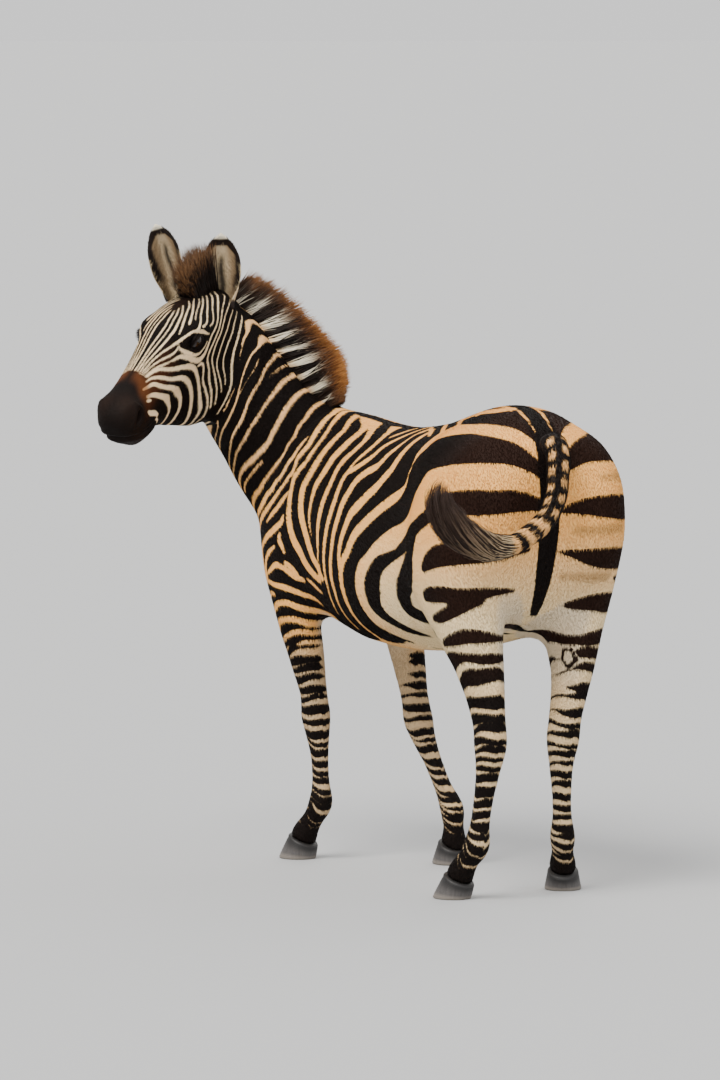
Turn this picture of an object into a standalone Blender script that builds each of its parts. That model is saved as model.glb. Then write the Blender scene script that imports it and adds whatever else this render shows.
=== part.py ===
"""A plains zebra at life size, standing, with its head turned to its left.

The flesh is one body: tubes swept through named stations, with muscle and bone forms, are fused
and smoothed, and thin cuts then part it into trunk, neck, head and legs. Hooves, ears, eyes, mane
and tail are separate solids that meet it with a small gap.
Frame: +X forward along the trunk, +Y to the animal's left, +Z up, in metres, hooves on z = 0.
"""

import math

import bmesh
import bpy
import numpy as np
from mathutils import Matrix, Vector

# ---------------------------------------------------------------- driving dimensions, metres
GAP = 0.0003              # clearance between solids that meet
ORIGIN = (0.0330, 0.1804)     # centre of the animal's outline on the floor, in the posing frame
VOXEL = 0.007             # grain of the fused flesh
FLESH_TRIANGLES = 5750    # budget of the fused flesh before it is cut

TAIL_ROOT = Vector((-0.64, -0.035, 1.20))
SPINE_LENGTH = 1.05       # tail root to withers
PELVIS_HEADING = -12.0    # degrees from +X at the tail root
WITHERS_HEADING = 16.0    # degrees from +X at the withers

POLL = Vector((0.718, 0.276, 1.552))
HEAD_YAW = 121.0
HEAD_PITCH = 31.0
HEAD_ROLL = -4.5
HEAD_SCALE = 1.075        # of the head's own measures below
EYE_RADIUS = 0.020

ZEBRA = bpy.data.collections.new("zebra")
CUTTERS = bpy.data.collections.new("cutters")


# ---------------------------------------------------------------- small tools
def clear_scene():
    for thing in list(bpy.data.objects):
        bpy.data.objects.remove(thing, do_unlink=True)
    bpy.context.scene.collection.children.link(ZEBRA)
    bpy.context.scene.collection.children.link(CUTTERS)


def new_object(name, mesh, collection):
    thing = bpy.data.objects.new(name, mesh)
    collection.objects.link(thing)
    return thing


def mesh_from_bmesh(name, bm):
    bmesh.ops.recalc_face_normals(bm, faces=bm.faces)
    mesh = bpy.data.meshes.new(name)
    bm.to_mesh(mesh)
    bm.free()
    return mesh


def smooth_rows(rows, steps):
    """Rows of numbers, taken as stations, filled in by a Catmull-Rom curve through them."""
    rows = np.array(rows, float)
    padded = np.vstack([2 * rows[0] - rows[1], rows, 2 * rows[-1] - rows[-2]])
    out = []
    for i in range(1, len(padded) - 2):
        p0, p1, p2, p3 = padded[i - 1:i + 3]
        for k in range(steps):
            t = k / steps
            a = 2 * p1 + (p2 - p0) * t
            b = (2 * p0 - 5 * p1 + 4 * p2 - p3) * t * t
            c = (3 * p1 - p0 - 3 * p2 + p3) * t ** 3
            out.append(0.5 * (a + b + c))
    out.append(rows[-1])
    return np.array(out)


def add_tube(bm, rows, side, steps=4, sides=28, upright=False):
    """Closed tube through rows of x, y, z, half width, height above, height below, taper, power.

    side(tangent) gives the direction of the tube's own left. Taper above 0 widens the top of a
    section, power above 2 squares it, and upright keeps every section vertical.
    """
    rows = smooth_rows(rows, steps)
    centres = rows[:, :3]
    tangents = np.gradient(centres, axis=0)
    rings = []
    for centre, tangent, shape in zip(centres, tangents, rows[:, 3:]):
        width, above, below, taper, power = shape
        along = Vector(tangent)
        if upright:
            along.z = 0.0
        along.normalize()
        left = side(along)
        left = (left - along * left.dot(along)).normalized()
        up = along.cross(left)
        ring = []
        for k in range(sides):
            angle = 2 * math.pi * k / sides
            c, s = math.cos(angle), math.sin(angle)
            c = math.copysign(abs(c) ** (2 / power), c)
            s = math.copysign(abs(s) ** (2 / power), s)
            across = width * c * (1 + taper * s)
            high = (above if s > 0 else below) * s
            ring.append(bm.verts.new(Vector(centre) + left * across + up * high))
        rings.append(ring)
    for a, b in zip(rings, rings[1:]):
        for k in range(sides):
            bm.faces.new((a[k], a[(k + 1) % sides], b[(k + 1) % sides], b[k]))
    bm.faces.new(rings[0])
    bm.faces.new(reversed(rings[-1]))


def add_ball(bm, centre, radii, axes=Matrix.Identity(3), detail=3):
    """Ellipsoid with the given half axes along the columns of axes."""
    shape = Matrix.Translation(centre) @ (axes @ Matrix.Diagonal(radii)).to_4x4()
    bmesh.ops.create_icosphere(bm, subdivisions=detail, radius=1.0, matrix=shape)


def plate(bm, centre, normal, across, size_a, size_b, thickness=GAP):
    """Thin box: its thickness lies along normal, size_a along across, size_b along the third."""
    n = normal.normalized()
    a = (across - n * across.dot(n)).normalized()
    b = n.cross(a)
    axes = Matrix((a * size_a, b * size_b, n * thickness)).transposed()
    bmesh.ops.create_cube(bm, size=1.0, matrix=Matrix.Translation(centre) @ axes.to_4x4())


def from_x(along):
    """Left of something that runs forward: level, at right angles to its run."""
    return Vector((0, 0, 1)).cross(along)


def from_y(along):
    return Vector((0, 1, 0))


# ---------------------------------------------------------------- body frames
def spine_point(s, steps=60):
    """Place and heading on the curved spine, s metres forward of the tail root."""
    x, y = TAIL_ROOT.x, TAIL_ROOT.y
    turn = math.radians(WITHERS_HEADING - PELVIS_HEADING) / SPINE_LENGTH
    start = math.radians(PELVIS_HEADING)
    for k in range(steps):
        heading = start + turn * s * (k + 0.5) / steps
        x += math.cos(heading) * s / steps
        y += math.sin(heading) * s / steps
    return x, y, start + turn * s


def trunk_point(s, left, z):
    x, y, heading = spine_point(s)
    return Vector((x - left * math.sin(heading), y + left * math.cos(heading), z))


def trunk_axes(s):
    return Matrix.Rotation(spine_point(s)[2], 3, "Z")


def head_axes():
    """Columns: from poll to nose, to the head's left, and up out of the forehead."""
    yaw = Matrix.Rotation(math.radians(HEAD_YAW), 3, "Z")
    pitch = Matrix.Rotation(math.radians(HEAD_PITCH), 3, "Y")
    roll = Matrix.Rotation(math.radians(HEAD_ROLL), 3, "X")
    return yaw @ pitch @ roll


def head_point(s, left, up):
    return POLL + head_axes() @ Vector((s, left, up)) * HEAD_SCALE


# ---------------------------------------------------------------- flesh
# s along the spine, top, level of the widest place, bottom, half width, taper, power
TRUNK = (
    (-0.030, 1.19, 1.12, 1.02, 0.04, 0.0, 2.0),
    (0.000, 1.215, 1.08, 0.92, 0.110, 0.0, 2.0),
    (0.05, 1.245, 1.03, 0.80, 0.185, -0.05, 2.1),
    (0.15, 1.283, 1.00, 0.70, 0.240, -0.08, 2.2),
    (0.26, 1.288, 0.99, 0.66, 0.250, -0.08, 2.15),
    (0.40, 1.262, 0.94, 0.63, 0.252, -0.12, 2.1),
    (0.55, 1.228, 0.90, 0.605, 0.262, -0.16, 2.1),
    (0.70, 1.205, 0.89, 0.595, 0.268, -0.18, 2.1),
    (0.84, 1.205, 0.90, 0.605, 0.252, -0.20, 2.1),
    (0.96, 1.228, 0.92, 0.635, 0.225, -0.25, 2.1),
    (1.06, 1.235, 0.94, 0.670, 0.200, -0.25, 2.1),
    (1.16, 1.18, 0.95, 0.71, 0.185, -0.15, 2.1),
    (1.25, 1.10, 0.93, 0.76, 0.155, 0.0, 2.0),
    (1.305, 1.00, 0.92, 0.82, 0.09, 0.0, 2.0),
)


def add_trunk(bm):
    rows = []
    for s, top, wide, bottom, width, taper, power in TRUNK:
        x, y, _ = spine_point(s)
        rows.append((x, y, wide, width, top - wide, wide - bottom, taper, power))
    add_tube(bm, rows, from_x, sides=40, upright=True)


NECK = (
    (0.320, -0.010, 0.955, 0.160, 0.245, 0.20, 0.0, 2.0),
    (0.460, 0.035, 1.010, 0.155, 0.245, 0.20, -0.05, 2.0),
    (0.585, 0.090, 1.105, 0.130, 0.205, 0.185, -0.10, 2.0),
    (0.668, 0.140, 1.225, 0.102, 0.172, 0.160, -0.12, 2.0),
    (0.708, 0.185, 1.335, 0.087, 0.137, 0.148, -0.10, 2.0),
    (0.724, 0.225, 1.415, 0.082, 0.112, 0.135, 0.0, 2.0),
    (0.722, 0.272, 1.462, 0.076, 0.078, 0.110, 0.0, 2.0),
)


def add_neck(bm):
    add_tube(bm, NECK, from_x, sides=36)


# s from the poll, widest level, half width, above, below, taper, power; in the head's own axes
HEAD = (
    (-0.055, -0.090, 0.045, 0.045, 0.060, 0.0, 2.0),
    (-0.030, -0.085, 0.070, 0.068, 0.100, 0.0, 2.0),
    (0.030, -0.072, 0.080, 0.084, 0.170, 0.05, 2.1),
    (0.100, -0.066, 0.085, 0.104, 0.222, 0.16, 2.2),
    (0.170, -0.060, 0.087, 0.108, 0.228, 0.22, 2.2),
    (0.240, -0.056, 0.075, 0.100, 0.205, 0.12, 2.2),
    (0.310, -0.056, 0.063, 0.088, 0.160, 0.06, 2.2),
    (0.380, -0.058, 0.057, 0.078, 0.112, 0.02, 2.2),
    (0.440, -0.060, 0.056, 0.070, 0.086, 0.0, 2.2),
    (0.490, -0.063, 0.058, 0.062, 0.080, 0.0, 2.3),
    (0.525, -0.069, 0.052, 0.050, 0.068, 0.0, 2.3),
    (0.548, -0.075, 0.036, 0.032, 0.045, 0.0, 2.2),
)
EYE_PLACE = (0.215, 0.080, -0.006)          # left eye, head axes


def add_head(bm):
    axes = head_axes()
    left = axes.col[1]
    rows = []
    for s, level, *shape in HEAD:
        width, above, below = (HEAD_SCALE * size for size in shape[:3])
        rows.append((*head_point(s, 0, level), width, above, below, *shape[3:]))
    add_tube(bm, rows, lambda along: left, sides=36)
    for side in (-1, 1):
        forms = (
            ((0.190, side * 0.058, 0.006), (0.058, 0.036, 0.026)),     # brow over the eye
            ((0.200, side * 0.062, -0.016), (0.046, 0.028, 0.036)),    # rim of the orbit
            ((0.150, side * 0.052, -0.190), (0.092, 0.036, 0.100)),    # masseter
            ((0.290, side * 0.058, -0.068), (0.095, 0.018, 0.026)),    # facial crest
            ((0.486, side * 0.042, -0.040), (0.038, 0.022, 0.034)),    # nostril wing
            ((0.458, side * 0.034, -0.108), (0.060, 0.026, 0.032)),    # lips
            ((0.040, side * 0.056, -0.030), (0.050, 0.030, 0.045)),    # seat of the ear
        )
        for place, radii in forms:
            add_ball(bm, head_point(*place), [HEAD_SCALE * r for r in radii], axes)
    add_ball(bm, head_point(0.468, 0, -0.140), (0.038, 0.034, 0.024), axes)    # chin


# x, y, z, half width, front, back, taper, power; from the shoulder or hip down to the hoof
FORELEG_LEFT = (
    (0.485, 0.105, 0.95, 0.085, 0.125, 0.140, 0, 2.0),
    (0.465, 0.138, 0.84, 0.085, 0.120, 0.150, 0, 2.0),
    (0.440, 0.146, 0.74, 0.074, 0.095, 0.120, 0, 2.0),
    (0.425, 0.140, 0.65, 0.060, 0.072, 0.082, 0, 2.0),
    (0.412, 0.125, 0.56, 0.050, 0.057, 0.061, 0, 2.0),
    (0.402, 0.108, 0.46, 0.038, 0.040, 0.041, 0, 2.0),
    (0.402, 0.101, 0.395, 0.041, 0.042, 0.042, 0, 2.2),
    (0.396, 0.099, 0.345, 0.034, 0.034, 0.038, 0, 2.0),
    (0.386, 0.098, 0.28, 0.025, 0.027, 0.032, 0, 2.0),
    (0.378, 0.099, 0.21, 0.025, 0.027, 0.033, 0, 2.0),
    (0.374, 0.102, 0.160, 0.033, 0.034, 0.044, 0, 2.0),
    (0.398, 0.112, 0.115, 0.028, 0.029, 0.034, 0, 2.0),
    (0.420, 0.124, 0.075, 0.036, 0.038, 0.038, 0, 2.0),
    (0.432, 0.130, 0.035, 0.040, 0.044, 0.040, 0, 2.0),
)
FORELEG_RIGHT = (
    (0.430, -0.085, 0.95, 0.075, 0.115, 0.130, 0, 2.0),
    (0.385, -0.100, 0.84, 0.078, 0.110, 0.140, 0, 2.0),
    (0.345, -0.112, 0.74, 0.070, 0.090, 0.115, 0, 2.0),
    (0.322, -0.122, 0.65, 0.058, 0.070, 0.080, 0, 2.0),
    (0.305, -0.132, 0.56, 0.048, 0.056, 0.060, 0, 2.0),
    (0.290, -0.145, 0.45, 0.038, 0.040, 0.041, 0, 2.0),
    (0.281, -0.152, 0.385, 0.041, 0.042, 0.042, 0, 2.2),
    (0.258, -0.156, 0.335, 0.034, 0.034, 0.038, 0, 2.0),
    (0.212, -0.161, 0.27, 0.025, 0.027, 0.032, 0, 2.0),
    (0.160, -0.166, 0.20, 0.025, 0.027, 0.033, 0, 2.0),
    (0.123, -0.170, 0.150, 0.033, 0.034, 0.044, 0, 2.0),
    (0.118, -0.172, 0.105, 0.028, 0.029, 0.034, 0, 2.0),
    (0.118, -0.174, 0.070, 0.036, 0.038, 0.038, 0, 2.0),
    (0.120, -0.174, 0.035, 0.040, 0.044, 0.040, 0, 2.0),
)
HINDLEG_LEFT = (
    (-0.430, 0.060, 1.10, 0.125, 0.180, 0.165, 0, 2.2),
    (-0.435, 0.095, 0.98, 0.125, 0.215, 0.205, 0, 2.2),
    (-0.435, 0.114, 0.86, 0.112, 0.215, 0.215, 0, 2.1),
    (-0.470, 0.112, 0.75, 0.090, 0.150, 0.170, 0, 2.0),
    (-0.520, 0.112, 0.65, 0.069, 0.095, 0.112, 0, 2.0),
    (-0.564, 0.114, 0.56, 0.052, 0.064, 0.080, 0, 2.0),
    (-0.600, 0.118, 0.47, 0.040, 0.050, 0.062, 0, 2.0),
    (-0.612, 0.119, 0.41, 0.041, 0.050, 0.050, 0, 2.2),
    (-0.606, 0.122, 0.35, 0.033, 0.039, 0.038, 0, 2.0),
    (-0.595, 0.130, 0.27, 0.026, 0.030, 0.033, 0, 2.0),
    (-0.585, 0.136, 0.20, 0.026, 0.030, 0.034, 0, 2.0),
    (-0.576, 0.140, 0.150, 0.034, 0.036, 0.045, 0, 2.0),
    (-0.548, 0.148, 0.110, 0.029, 0.031, 0.035, 0, 2.0),
    (-0.523, 0.156, 0.072, 0.036, 0.040, 0.038, 0, 2.0),
    (-0.510, 0.160, 0.035, 0.040, 0.046, 0.040, 0, 2.0),
)
HINDLEG_RIGHT = (
    (-0.435, -0.175, 1.10, 0.130, 0.180, 0.165, 0, 2.2),
    (-0.430, -0.202, 0.98, 0.132, 0.215, 0.205, 0, 2.2),
    (-0.425, -0.212, 0.86, 0.122, 0.215, 0.215, 0, 2.1),
    (-0.455, -0.212, 0.75, 0.094, 0.160, 0.170, 0, 2.0),
    (-0.505, -0.190, 0.65, 0.066, 0.098, 0.112, 0, 2.0),
    (-0.545, -0.158, 0.56, 0.050, 0.064, 0.080, 0, 2.0),
    (-0.572, -0.126, 0.47, 0.040, 0.050, 0.062, 0, 2.0),
    (-0.580, -0.116, 0.41, 0.041, 0.050, 0.050, 0, 2.2),
    (-0.572, -0.116, 0.35, 0.033, 0.039, 0.038, 0, 2.0),
    (-0.557, -0.125, 0.27, 0.026, 0.030, 0.033, 0, 2.0),
    (-0.545, -0.134, 0.20, 0.026, 0.030, 0.034, 0, 2.0),
    (-0.535, -0.140, 0.150, 0.034, 0.036, 0.045, 0, 2.0),
    (-0.512, -0.154, 0.110, 0.029, 0.031, 0.035, 0, 2.0),
    (-0.494, -0.166, 0.072, 0.036, 0.040, 0.038, 0, 2.0),
    (-0.484, -0.172, 0.035, 0.040, 0.046, 0.040, 0, 2.0),
)


def add_legs(bm):
    for rows in (FORELEG_LEFT, FORELEG_RIGHT, HINDLEG_LEFT, HINDLEG_RIGHT):
        add_tube(bm, rows, from_y, sides=24)


def add_muscles(bm):
    """Forms that show on the trunk: shoulder, triceps, point of shoulder, buttock and hip."""
    for side in (-1, 1):
        blade = trunk_axes(1.0) @ Matrix.Rotation(math.radians(28), 3, "Y")
        add_ball(bm, trunk_point(1.03, side * 0.125, 0.985), (0.105, 0.065, 0.200), blade)
        add_ball(bm, trunk_point(0.98, side * 0.140, 0.845), (0.150, 0.060, 0.110), trunk_axes(1.0))
        add_ball(bm, trunk_point(1.19, side * 0.110, 0.89), (0.085, 0.070, 0.110), trunk_axes(1.1))
        add_ball(bm, trunk_point(0.12, side * 0.125, 1.00), (0.170, 0.130, 0.230), trunk_axes(0.1))
        add_ball(bm, trunk_point(0.30, side * 0.145, 1.06), (0.190, 0.100, 0.160), trunk_axes(0.3))


def steadiness(point):
    """How far a point keeps its form when the flesh is eased: 1 on head and lower legs."""
    from_head = (POLL + head_axes().col[0] * 0.25 - point).length
    head = 0.8 * min(1.0, max(0.0, (0.42 - from_head) / 0.08))
    foot = min(1.0, max(0.0, (0.62 - point.z) / 0.15))
    return max(head, foot)


def evaluated(thing, name):
    """The mesh that the modifiers give, as a new mesh with no modifiers."""
    graph = bpy.context.evaluated_depsgraph_get()
    mesh = bpy.data.meshes.new_from_object(thing.evaluated_get(graph))
    mesh.name = name
    return mesh


def settle(thing):
    """Replace an object's mesh by what its modifiers give, and drop them."""
    mesh = evaluated(thing, thing.name)
    thing.modifiers.clear()
    thing.data = mesh


def weights(thing, name, rule):
    group = thing.vertex_groups.new(name=name)
    for vertex in thing.data.vertices:
        group.add((vertex.index,), rule(vertex.co), "REPLACE")
    return group


def flesh():
    """Trunk, neck, head and legs in one smooth body, before the cuts."""
    bm = bmesh.new()
    add_trunk(bm)
    add_neck(bm)
    add_head(bm)
    add_legs(bm)
    add_muscles(bm)
    body = new_object("flesh", mesh_from_bmesh("flesh", bm), CUTTERS)
    fuse = body.modifiers.new("fuse", "REMESH")
    fuse.mode = "VOXEL"
    fuse.voxel_size = VOXEL
    ease = body.modifiers.new("ease", "SMOOTH")
    ease.factor = 0.5
    ease.iterations = 8
    settle(body)
    weights(body, "soft", lambda point: 1.0 - steadiness(point))
    weights(body, "plain", lambda point: 1.0 - 0.4 * steadiness(point))
    muscle = body.modifiers.new("muscle", "SMOOTH")
    muscle.factor = 0.5
    muscle.iterations = 60
    muscle.vertex_group = "soft"
    thin = body.modifiers.new("thin", "DECIMATE")
    thin.ratio = FLESH_TRIANGLES / (2.0 * len(body.data.polygons))
    thin.use_collapse_triangulate = True
    thin.vertex_group = "plain"
    thin.vertex_group_factor = 1.0
    settle(body)
    return body


# ---------------------------------------------------------------- ears
EAR_LENGTH = 0.208
EAR_HALF_WIDTH = 0.0445
EAR_WALL = 0.0045
# height up the ear as a share, half width as a share, half angle that the wall wraps, degrees
EAR = (
    (0.00, 0.58, 150),
    (0.14, 0.66, 128),
    (0.28, 0.84, 104),
    (0.45, 0.98, 84),
    (0.62, 1.00, 70),
    (0.76, 0.90, 60),
    (0.88, 0.66, 52),
    (0.95, 0.42, 46),
    (1.00, 0.14, 40),
)


# name, seat in head axes, lean to the left, lean forward, and how far the mouth turns to the left
EARS = (
    ("ear_left", (0.026, 0.064, -0.035), -0.10, -0.20, 1.5),
    ("ear_right", (0.028, -0.083, -0.020), -0.30, 0.06, 0.2),
)


def ear(name, place, lean, facing):
    """Cupped shell: walls wrap a hollow that opens towards facing, and lean is its long axis."""
    up = lean.normalized()
    mouth = (facing - up * facing.dot(up)).normalized()
    side = up.cross(mouth)
    bm = bmesh.new()
    grids = []
    arcs = 8
    rows = smooth_rows(EAR, 1)
    for inner in (False, True):
        grid = []
        for share, wide, wrap in rows:
            wrap = math.radians(wrap)
            radius = EAR_HALF_WIDTH * wide / math.sin(min(wrap, math.pi / 2))
            axis = place + up * (EAR_LENGTH * share) + mouth * (radius * math.cos(min(wrap, 1.9)) * 0.6)
            wall = radius - (EAR_WALL if inner else 0.0)
            line = []
            for k in range(arcs + 1):
                turn = -wrap + 2 * wrap * k / arcs
                spot = axis + side * (wall * math.sin(turn)) - mouth * (wall * math.cos(turn))
                line.append(bm.verts.new(spot))
            grid.append(line)
        grids.append(grid)
    outer, hollow = grids
    for i in range(len(rows) - 1):
        for k in range(arcs):
            bm.faces.new((outer[i][k], outer[i][k + 1], outer[i + 1][k + 1], outer[i + 1][k]))
            bm.faces.new((hollow[i][k + 1], hollow[i][k], hollow[i + 1][k], hollow[i + 1][k + 1]))
        for k in (0, arcs):
            bm.faces.new((outer[i][k], outer[i + 1][k], hollow[i + 1][k], hollow[i][k]))
    for k in range(arcs):
        bm.faces.new((outer[0][k], outer[0][k + 1], hollow[0][k + 1], hollow[0][k]))
        bm.faces.new((outer[-1][k], outer[-1][k + 1], hollow[-1][k + 1], hollow[-1][k]))
    return new_object(name, mesh_from_bmesh(name, bm), ZEBRA)


# ---------------------------------------------------------------- mane, forelock and tail
MANE_SUNK = 0.02
MANE_HALF_THICKNESS = 0.020
MANE_HEIGHTS = (0.095, 0.095, 0.108, 0.120, 0.124, 0.115)     # from behind the ears to the withers
MANE_END = 0.43           # as a share of the neck's run, where the mane stops at the withers
# place on the head's midline from the poll, height over its frame, height of the hair
FORELOCK = ((0.088, 0.030, 0.030), (0.074, 0.026, 0.085), (0.050, 0.018, 0.105), (0.030, 0.012, 0.100))


def crest_line():
    """Top of the neck from the poll back to the withers, with the way up, from the neck's stations."""
    rows = smooth_rows(NECK, 4)
    centres = rows[:, :3]
    tangents = np.gradient(centres, axis=0)
    line = []
    for centre, tangent, shape in zip(centres, tangents, rows[:, 3:]):
        along = Vector(tangent).normalized()
        up = along.cross(from_x(along).normalized())
        line.append((Vector(centre) + up * shape[1], up))
    line.reverse()
    return line


def crest_hair(name, base, heights):
    """Upright hair as a thin wall that narrows to its tips, along points and their up directions."""
    shares = np.linspace(0, 1, len(base))
    heights = np.interp(shares, np.linspace(0, 1, len(heights)), heights)
    rows = []
    for (place, up), height in zip(base, heights):
        middle = place + up * (height / 2 - MANE_SUNK / 2)
        half = (height + MANE_SUNK) / 2
        rows.append((*middle, MANE_HALF_THICKNESS, half, half, -0.45, 2.6))
    bm = bmesh.new()
    add_tube(bm, rows, from_x, steps=1, sides=10)
    return new_object(name, mesh_from_bmesh(name, bm), ZEBRA)


def build_mane():
    line = crest_line()
    first = 0
    last = int(len(line) * (1 - MANE_END) * 1.25)
    crest_hair("mane", line[first:last], MANE_HEIGHTS)


def build_forelock():
    axes = head_axes()
    base = []
    for k, (s, level, height) in enumerate(FORELOCK):
        up = axes @ Vector((-0.15 - 0.15 * k, 0, 1))
        base.append((head_point(s, 0, level), up.normalized()))
    crest_hair("forelock", base, [row[2] for row in FORELOCK])


# x, y, z, radius across, radius in depth; from the root to the curl of the tuft
TAIL = (
    (-0.590, -0.040, 1.165, 0.024, 0.024),
    (-0.655, -0.040, 1.190, 0.032, 0.032),
    (-0.700, -0.030, 1.165, 0.030, 0.030),
    (-0.726, -0.016, 1.120, 0.028, 0.028),
    (-0.740, -0.002, 1.065, 0.028, 0.028),
    (-0.750, 0.030, 1.010, 0.028, 0.028),
    (-0.755, 0.085, 0.968, 0.028, 0.028),
    (-0.757, 0.135, 0.945, 0.028, 0.029),
    (-0.755, 0.190, 0.940, 0.034, 0.036),
    (-0.745, 0.240, 0.955, 0.035, 0.040),
    (-0.730, 0.290, 0.990, 0.030, 0.036),
    (-0.712, 0.322, 1.040, 0.022, 0.026),
    (-0.695, 0.318, 1.090, 0.014, 0.016),
    (-0.682, 0.290, 1.130, 0.008, 0.008),
)
TUFT_CUT = (Vector((-0.757, 0.135, 0.945)), Vector((0.0, 0.97, -0.22)))
TAIL_ANCHORS = {
    "tail": (-0.655, -0.040, 1.190),
    "tail_tuft": (-0.745, 0.240, 0.955),
}


def build_tail():
    """Dock and tuft in one sweep, parted where the long hair starts."""
    bm = bmesh.new()
    rows = [(x, y, z, wide, deep, deep, 0, 2.0) for x, y, z, wide, deep in TAIL]
    add_tube(bm, rows, lambda along: Vector((-0.7, -0.7, 0)), steps=2, sides=10)
    sweep = new_object("tail_sweep", mesh_from_bmesh("tail_sweep", bm), CUTTERS)
    bm = bmesh.new()
    plate(bm, *TUFT_CUT, Vector((1, 0, 0)), 0.12, 0.12)
    subtract(sweep, new_object("tuft_cut", mesh_from_bmesh("tuft_cut", bm), CUTTERS))
    settle(sweep)
    part_body(sweep, TAIL_ANCHORS)
    bpy.data.objects.remove(sweep, do_unlink=True)


# ---------------------------------------------------------------- hooves and eyes
HOOF_LENGTH = 0.112
HOOF_WIDTH = 0.098
CORONET_LENGTH = 0.080
CORONET_WIDTH = 0.076
CORONET_HEIGHT = 0.051    # of the coronet's centre over the floor
CORONET_SLOPE = 0.42      # rise towards the toe for each metre forward
HOOF_SIDES = 20
# name: ankle end of the leg x, y, then sole centre x, y, and the way the toe points, degrees
HOOVES = {
    "hoof_fore_left": ((0.424, 0.126), (0.440, 0.134), 26),
    "hoof_fore_right": ((0.119, -0.174), (0.132, -0.174), 4),
    "hoof_hind_left": ((-0.518, 0.158), (-0.498, 0.166), 20),
    "hoof_hind_right": ((-0.492, -0.168), (-0.476, -0.177), -26),
}


def hoof_ring(bm, centre, yaw, length, width, height, slope=0.0):
    """Level or sloping outline of the hoof: round at the toe, flatter at the heel."""
    turn = Matrix.Rotation(math.radians(yaw), 3, "Z")
    ring = []
    for k in range(HOOF_SIDES):
        angle = 2 * math.pi * k / HOOF_SIDES
        c, s = math.cos(angle), math.sin(angle)
        ahead = length / 2 * c * (1.0 if c > 0 else 0.86)
        across = width / 2 * s * (1 + 0.06 * c)
        spot = turn @ Vector((ahead, across, height + slope * ahead))
        ring.append(bm.verts.new(spot + Vector((centre[0], centre[1], 0.0))))
    return ring


def close_rings(bm, rings):
    for a, b in zip(rings, rings[1:]):
        for k in range(len(a)):
            bm.faces.new((a[k], a[k - 1], b[k - 1], b[k]))
    bm.faces.new(rings[0])
    bm.faces.new(rings[-1])


def hoof(name, ankle, sole, yaw):
    bm = bmesh.new()
    top = CORONET_HEIGHT - GAP
    close_rings(bm, (
        hoof_ring(bm, sole, yaw, HOOF_LENGTH - 0.006, HOOF_WIDTH - 0.006, 0.0),
        hoof_ring(bm, sole, yaw, HOOF_LENGTH, HOOF_WIDTH, 0.0045),
        hoof_ring(bm, ankle, yaw, CORONET_LENGTH + 0.006, CORONET_WIDTH + 0.006, top - 0.005, CORONET_SLOPE),
        hoof_ring(bm, ankle, yaw, CORONET_LENGTH, CORONET_WIDTH, top, CORONET_SLOPE),
    ))
    return new_object(name, mesh_from_bmesh(name, bm), ZEBRA)


def coronet_cutter(name, ankle, yaw):
    """Closed block under the coronet plane: it takes the leg away where the hoof stands."""
    bm = bmesh.new()
    wide = 2 * CORONET_LENGTH
    close_rings(bm, (
        hoof_ring(bm, ankle, yaw, wide, wide, -0.05),
        hoof_ring(bm, ankle, yaw, wide, wide, CORONET_HEIGHT, CORONET_SLOPE),
    ))
    return new_object(name + "_block", mesh_from_bmesh(name, bm), CUTTERS)


def eye(name, side):
    bm = bmesh.new()
    centre = head_point(EYE_PLACE[0], side * EYE_PLACE[1], EYE_PLACE[2])
    bmesh.ops.create_icosphere(bm, subdivisions=2, radius=EYE_RADIUS,
                               matrix=Matrix.Translation(centre))
    return new_object(name, mesh_from_bmesh(name, bm), ZEBRA)


def socket(name, side):
    bm = bmesh.new()
    centre = head_point(EYE_PLACE[0], side * EYE_PLACE[1], EYE_PLACE[2])
    bmesh.ops.create_icosphere(bm, subdivisions=2, radius=EYE_RADIUS + 2 * GAP,
                               matrix=Matrix.Translation(centre))
    return new_object(name + "_socket", mesh_from_bmesh(name, bm), CUTTERS)


def build_ears():
    axes = head_axes()
    ahead, left = axes.col[0], axes.col[1]
    level = Vector((ahead.x, ahead.y, 0)).normalized()
    for name, seat, out, forward, turn in EARS:
        lean = Vector((0, 0, 1)) + left * out + level * forward
        ear(name, head_point(*seat), lean, level + left * turn)


# ---------------------------------------------------------------- cuts
def add_shell_box(bm, low, high, place, slope=0.0, floor_shift=0.0):
    """Hollow box with walls of one gap: what stands inside is parted from what is outside.

    Its top rises by slope for each metre off the middle, and its floor is set forward by floor_shift.
    """
    for wall in (0.0, GAP):
        made = bmesh.ops.create_cube(bm, size=1.0)["verts"]
        if wall:
            faces = {face for vertex in made for face in vertex.link_faces}
            bmesh.ops.reverse_faces(bm, faces=list(faces))
        for vertex in made:
            top = vertex.co.z > 0
            for axis in range(3):
                if vertex.co[axis] > 0:
                    vertex.co[axis] = high[axis] - wall
                else:
                    vertex.co[axis] = low[axis] + wall
            if top:
                vertex.co.z += slope * abs(vertex.co.y)
            vertex.co.x += floor_shift * (high[2] - vertex.co.z) / (high[2] - low[2])
            vertex.co = place @ vertex.co


# low and high corners, heading in degrees, slope of the top, shift of the floor
LEG_BOXES = (
    ((0.290, 0.004, -0.10), (0.640, 0.340, 0.630), 6, 0.42, 0.0),
    ((0.190, -0.340, -0.10), (0.540, -0.004, 0.630), 6, 0.42, -0.21),
    ((-0.760, 0.000, -0.10), (-0.180, 0.380, 0.660), 0, 0.45, 0.0),
    ((-0.760, -0.460, -0.10), (-0.180, -0.048, 0.660), 0, 0.40, 0.0),
)
# centre and normal of the cut behind the jaw, and of the cut in front of the shoulders
HEAD_CUT = (Vector((0.700, 0.249, 1.370)), Vector((-0.469, -0.883, -0.155)))
SHOULDER_CUT_AT = 1.13    # along the spine
SHOULDER_CUT_LEAN = (0.76, 0.0, 0.65)
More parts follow.
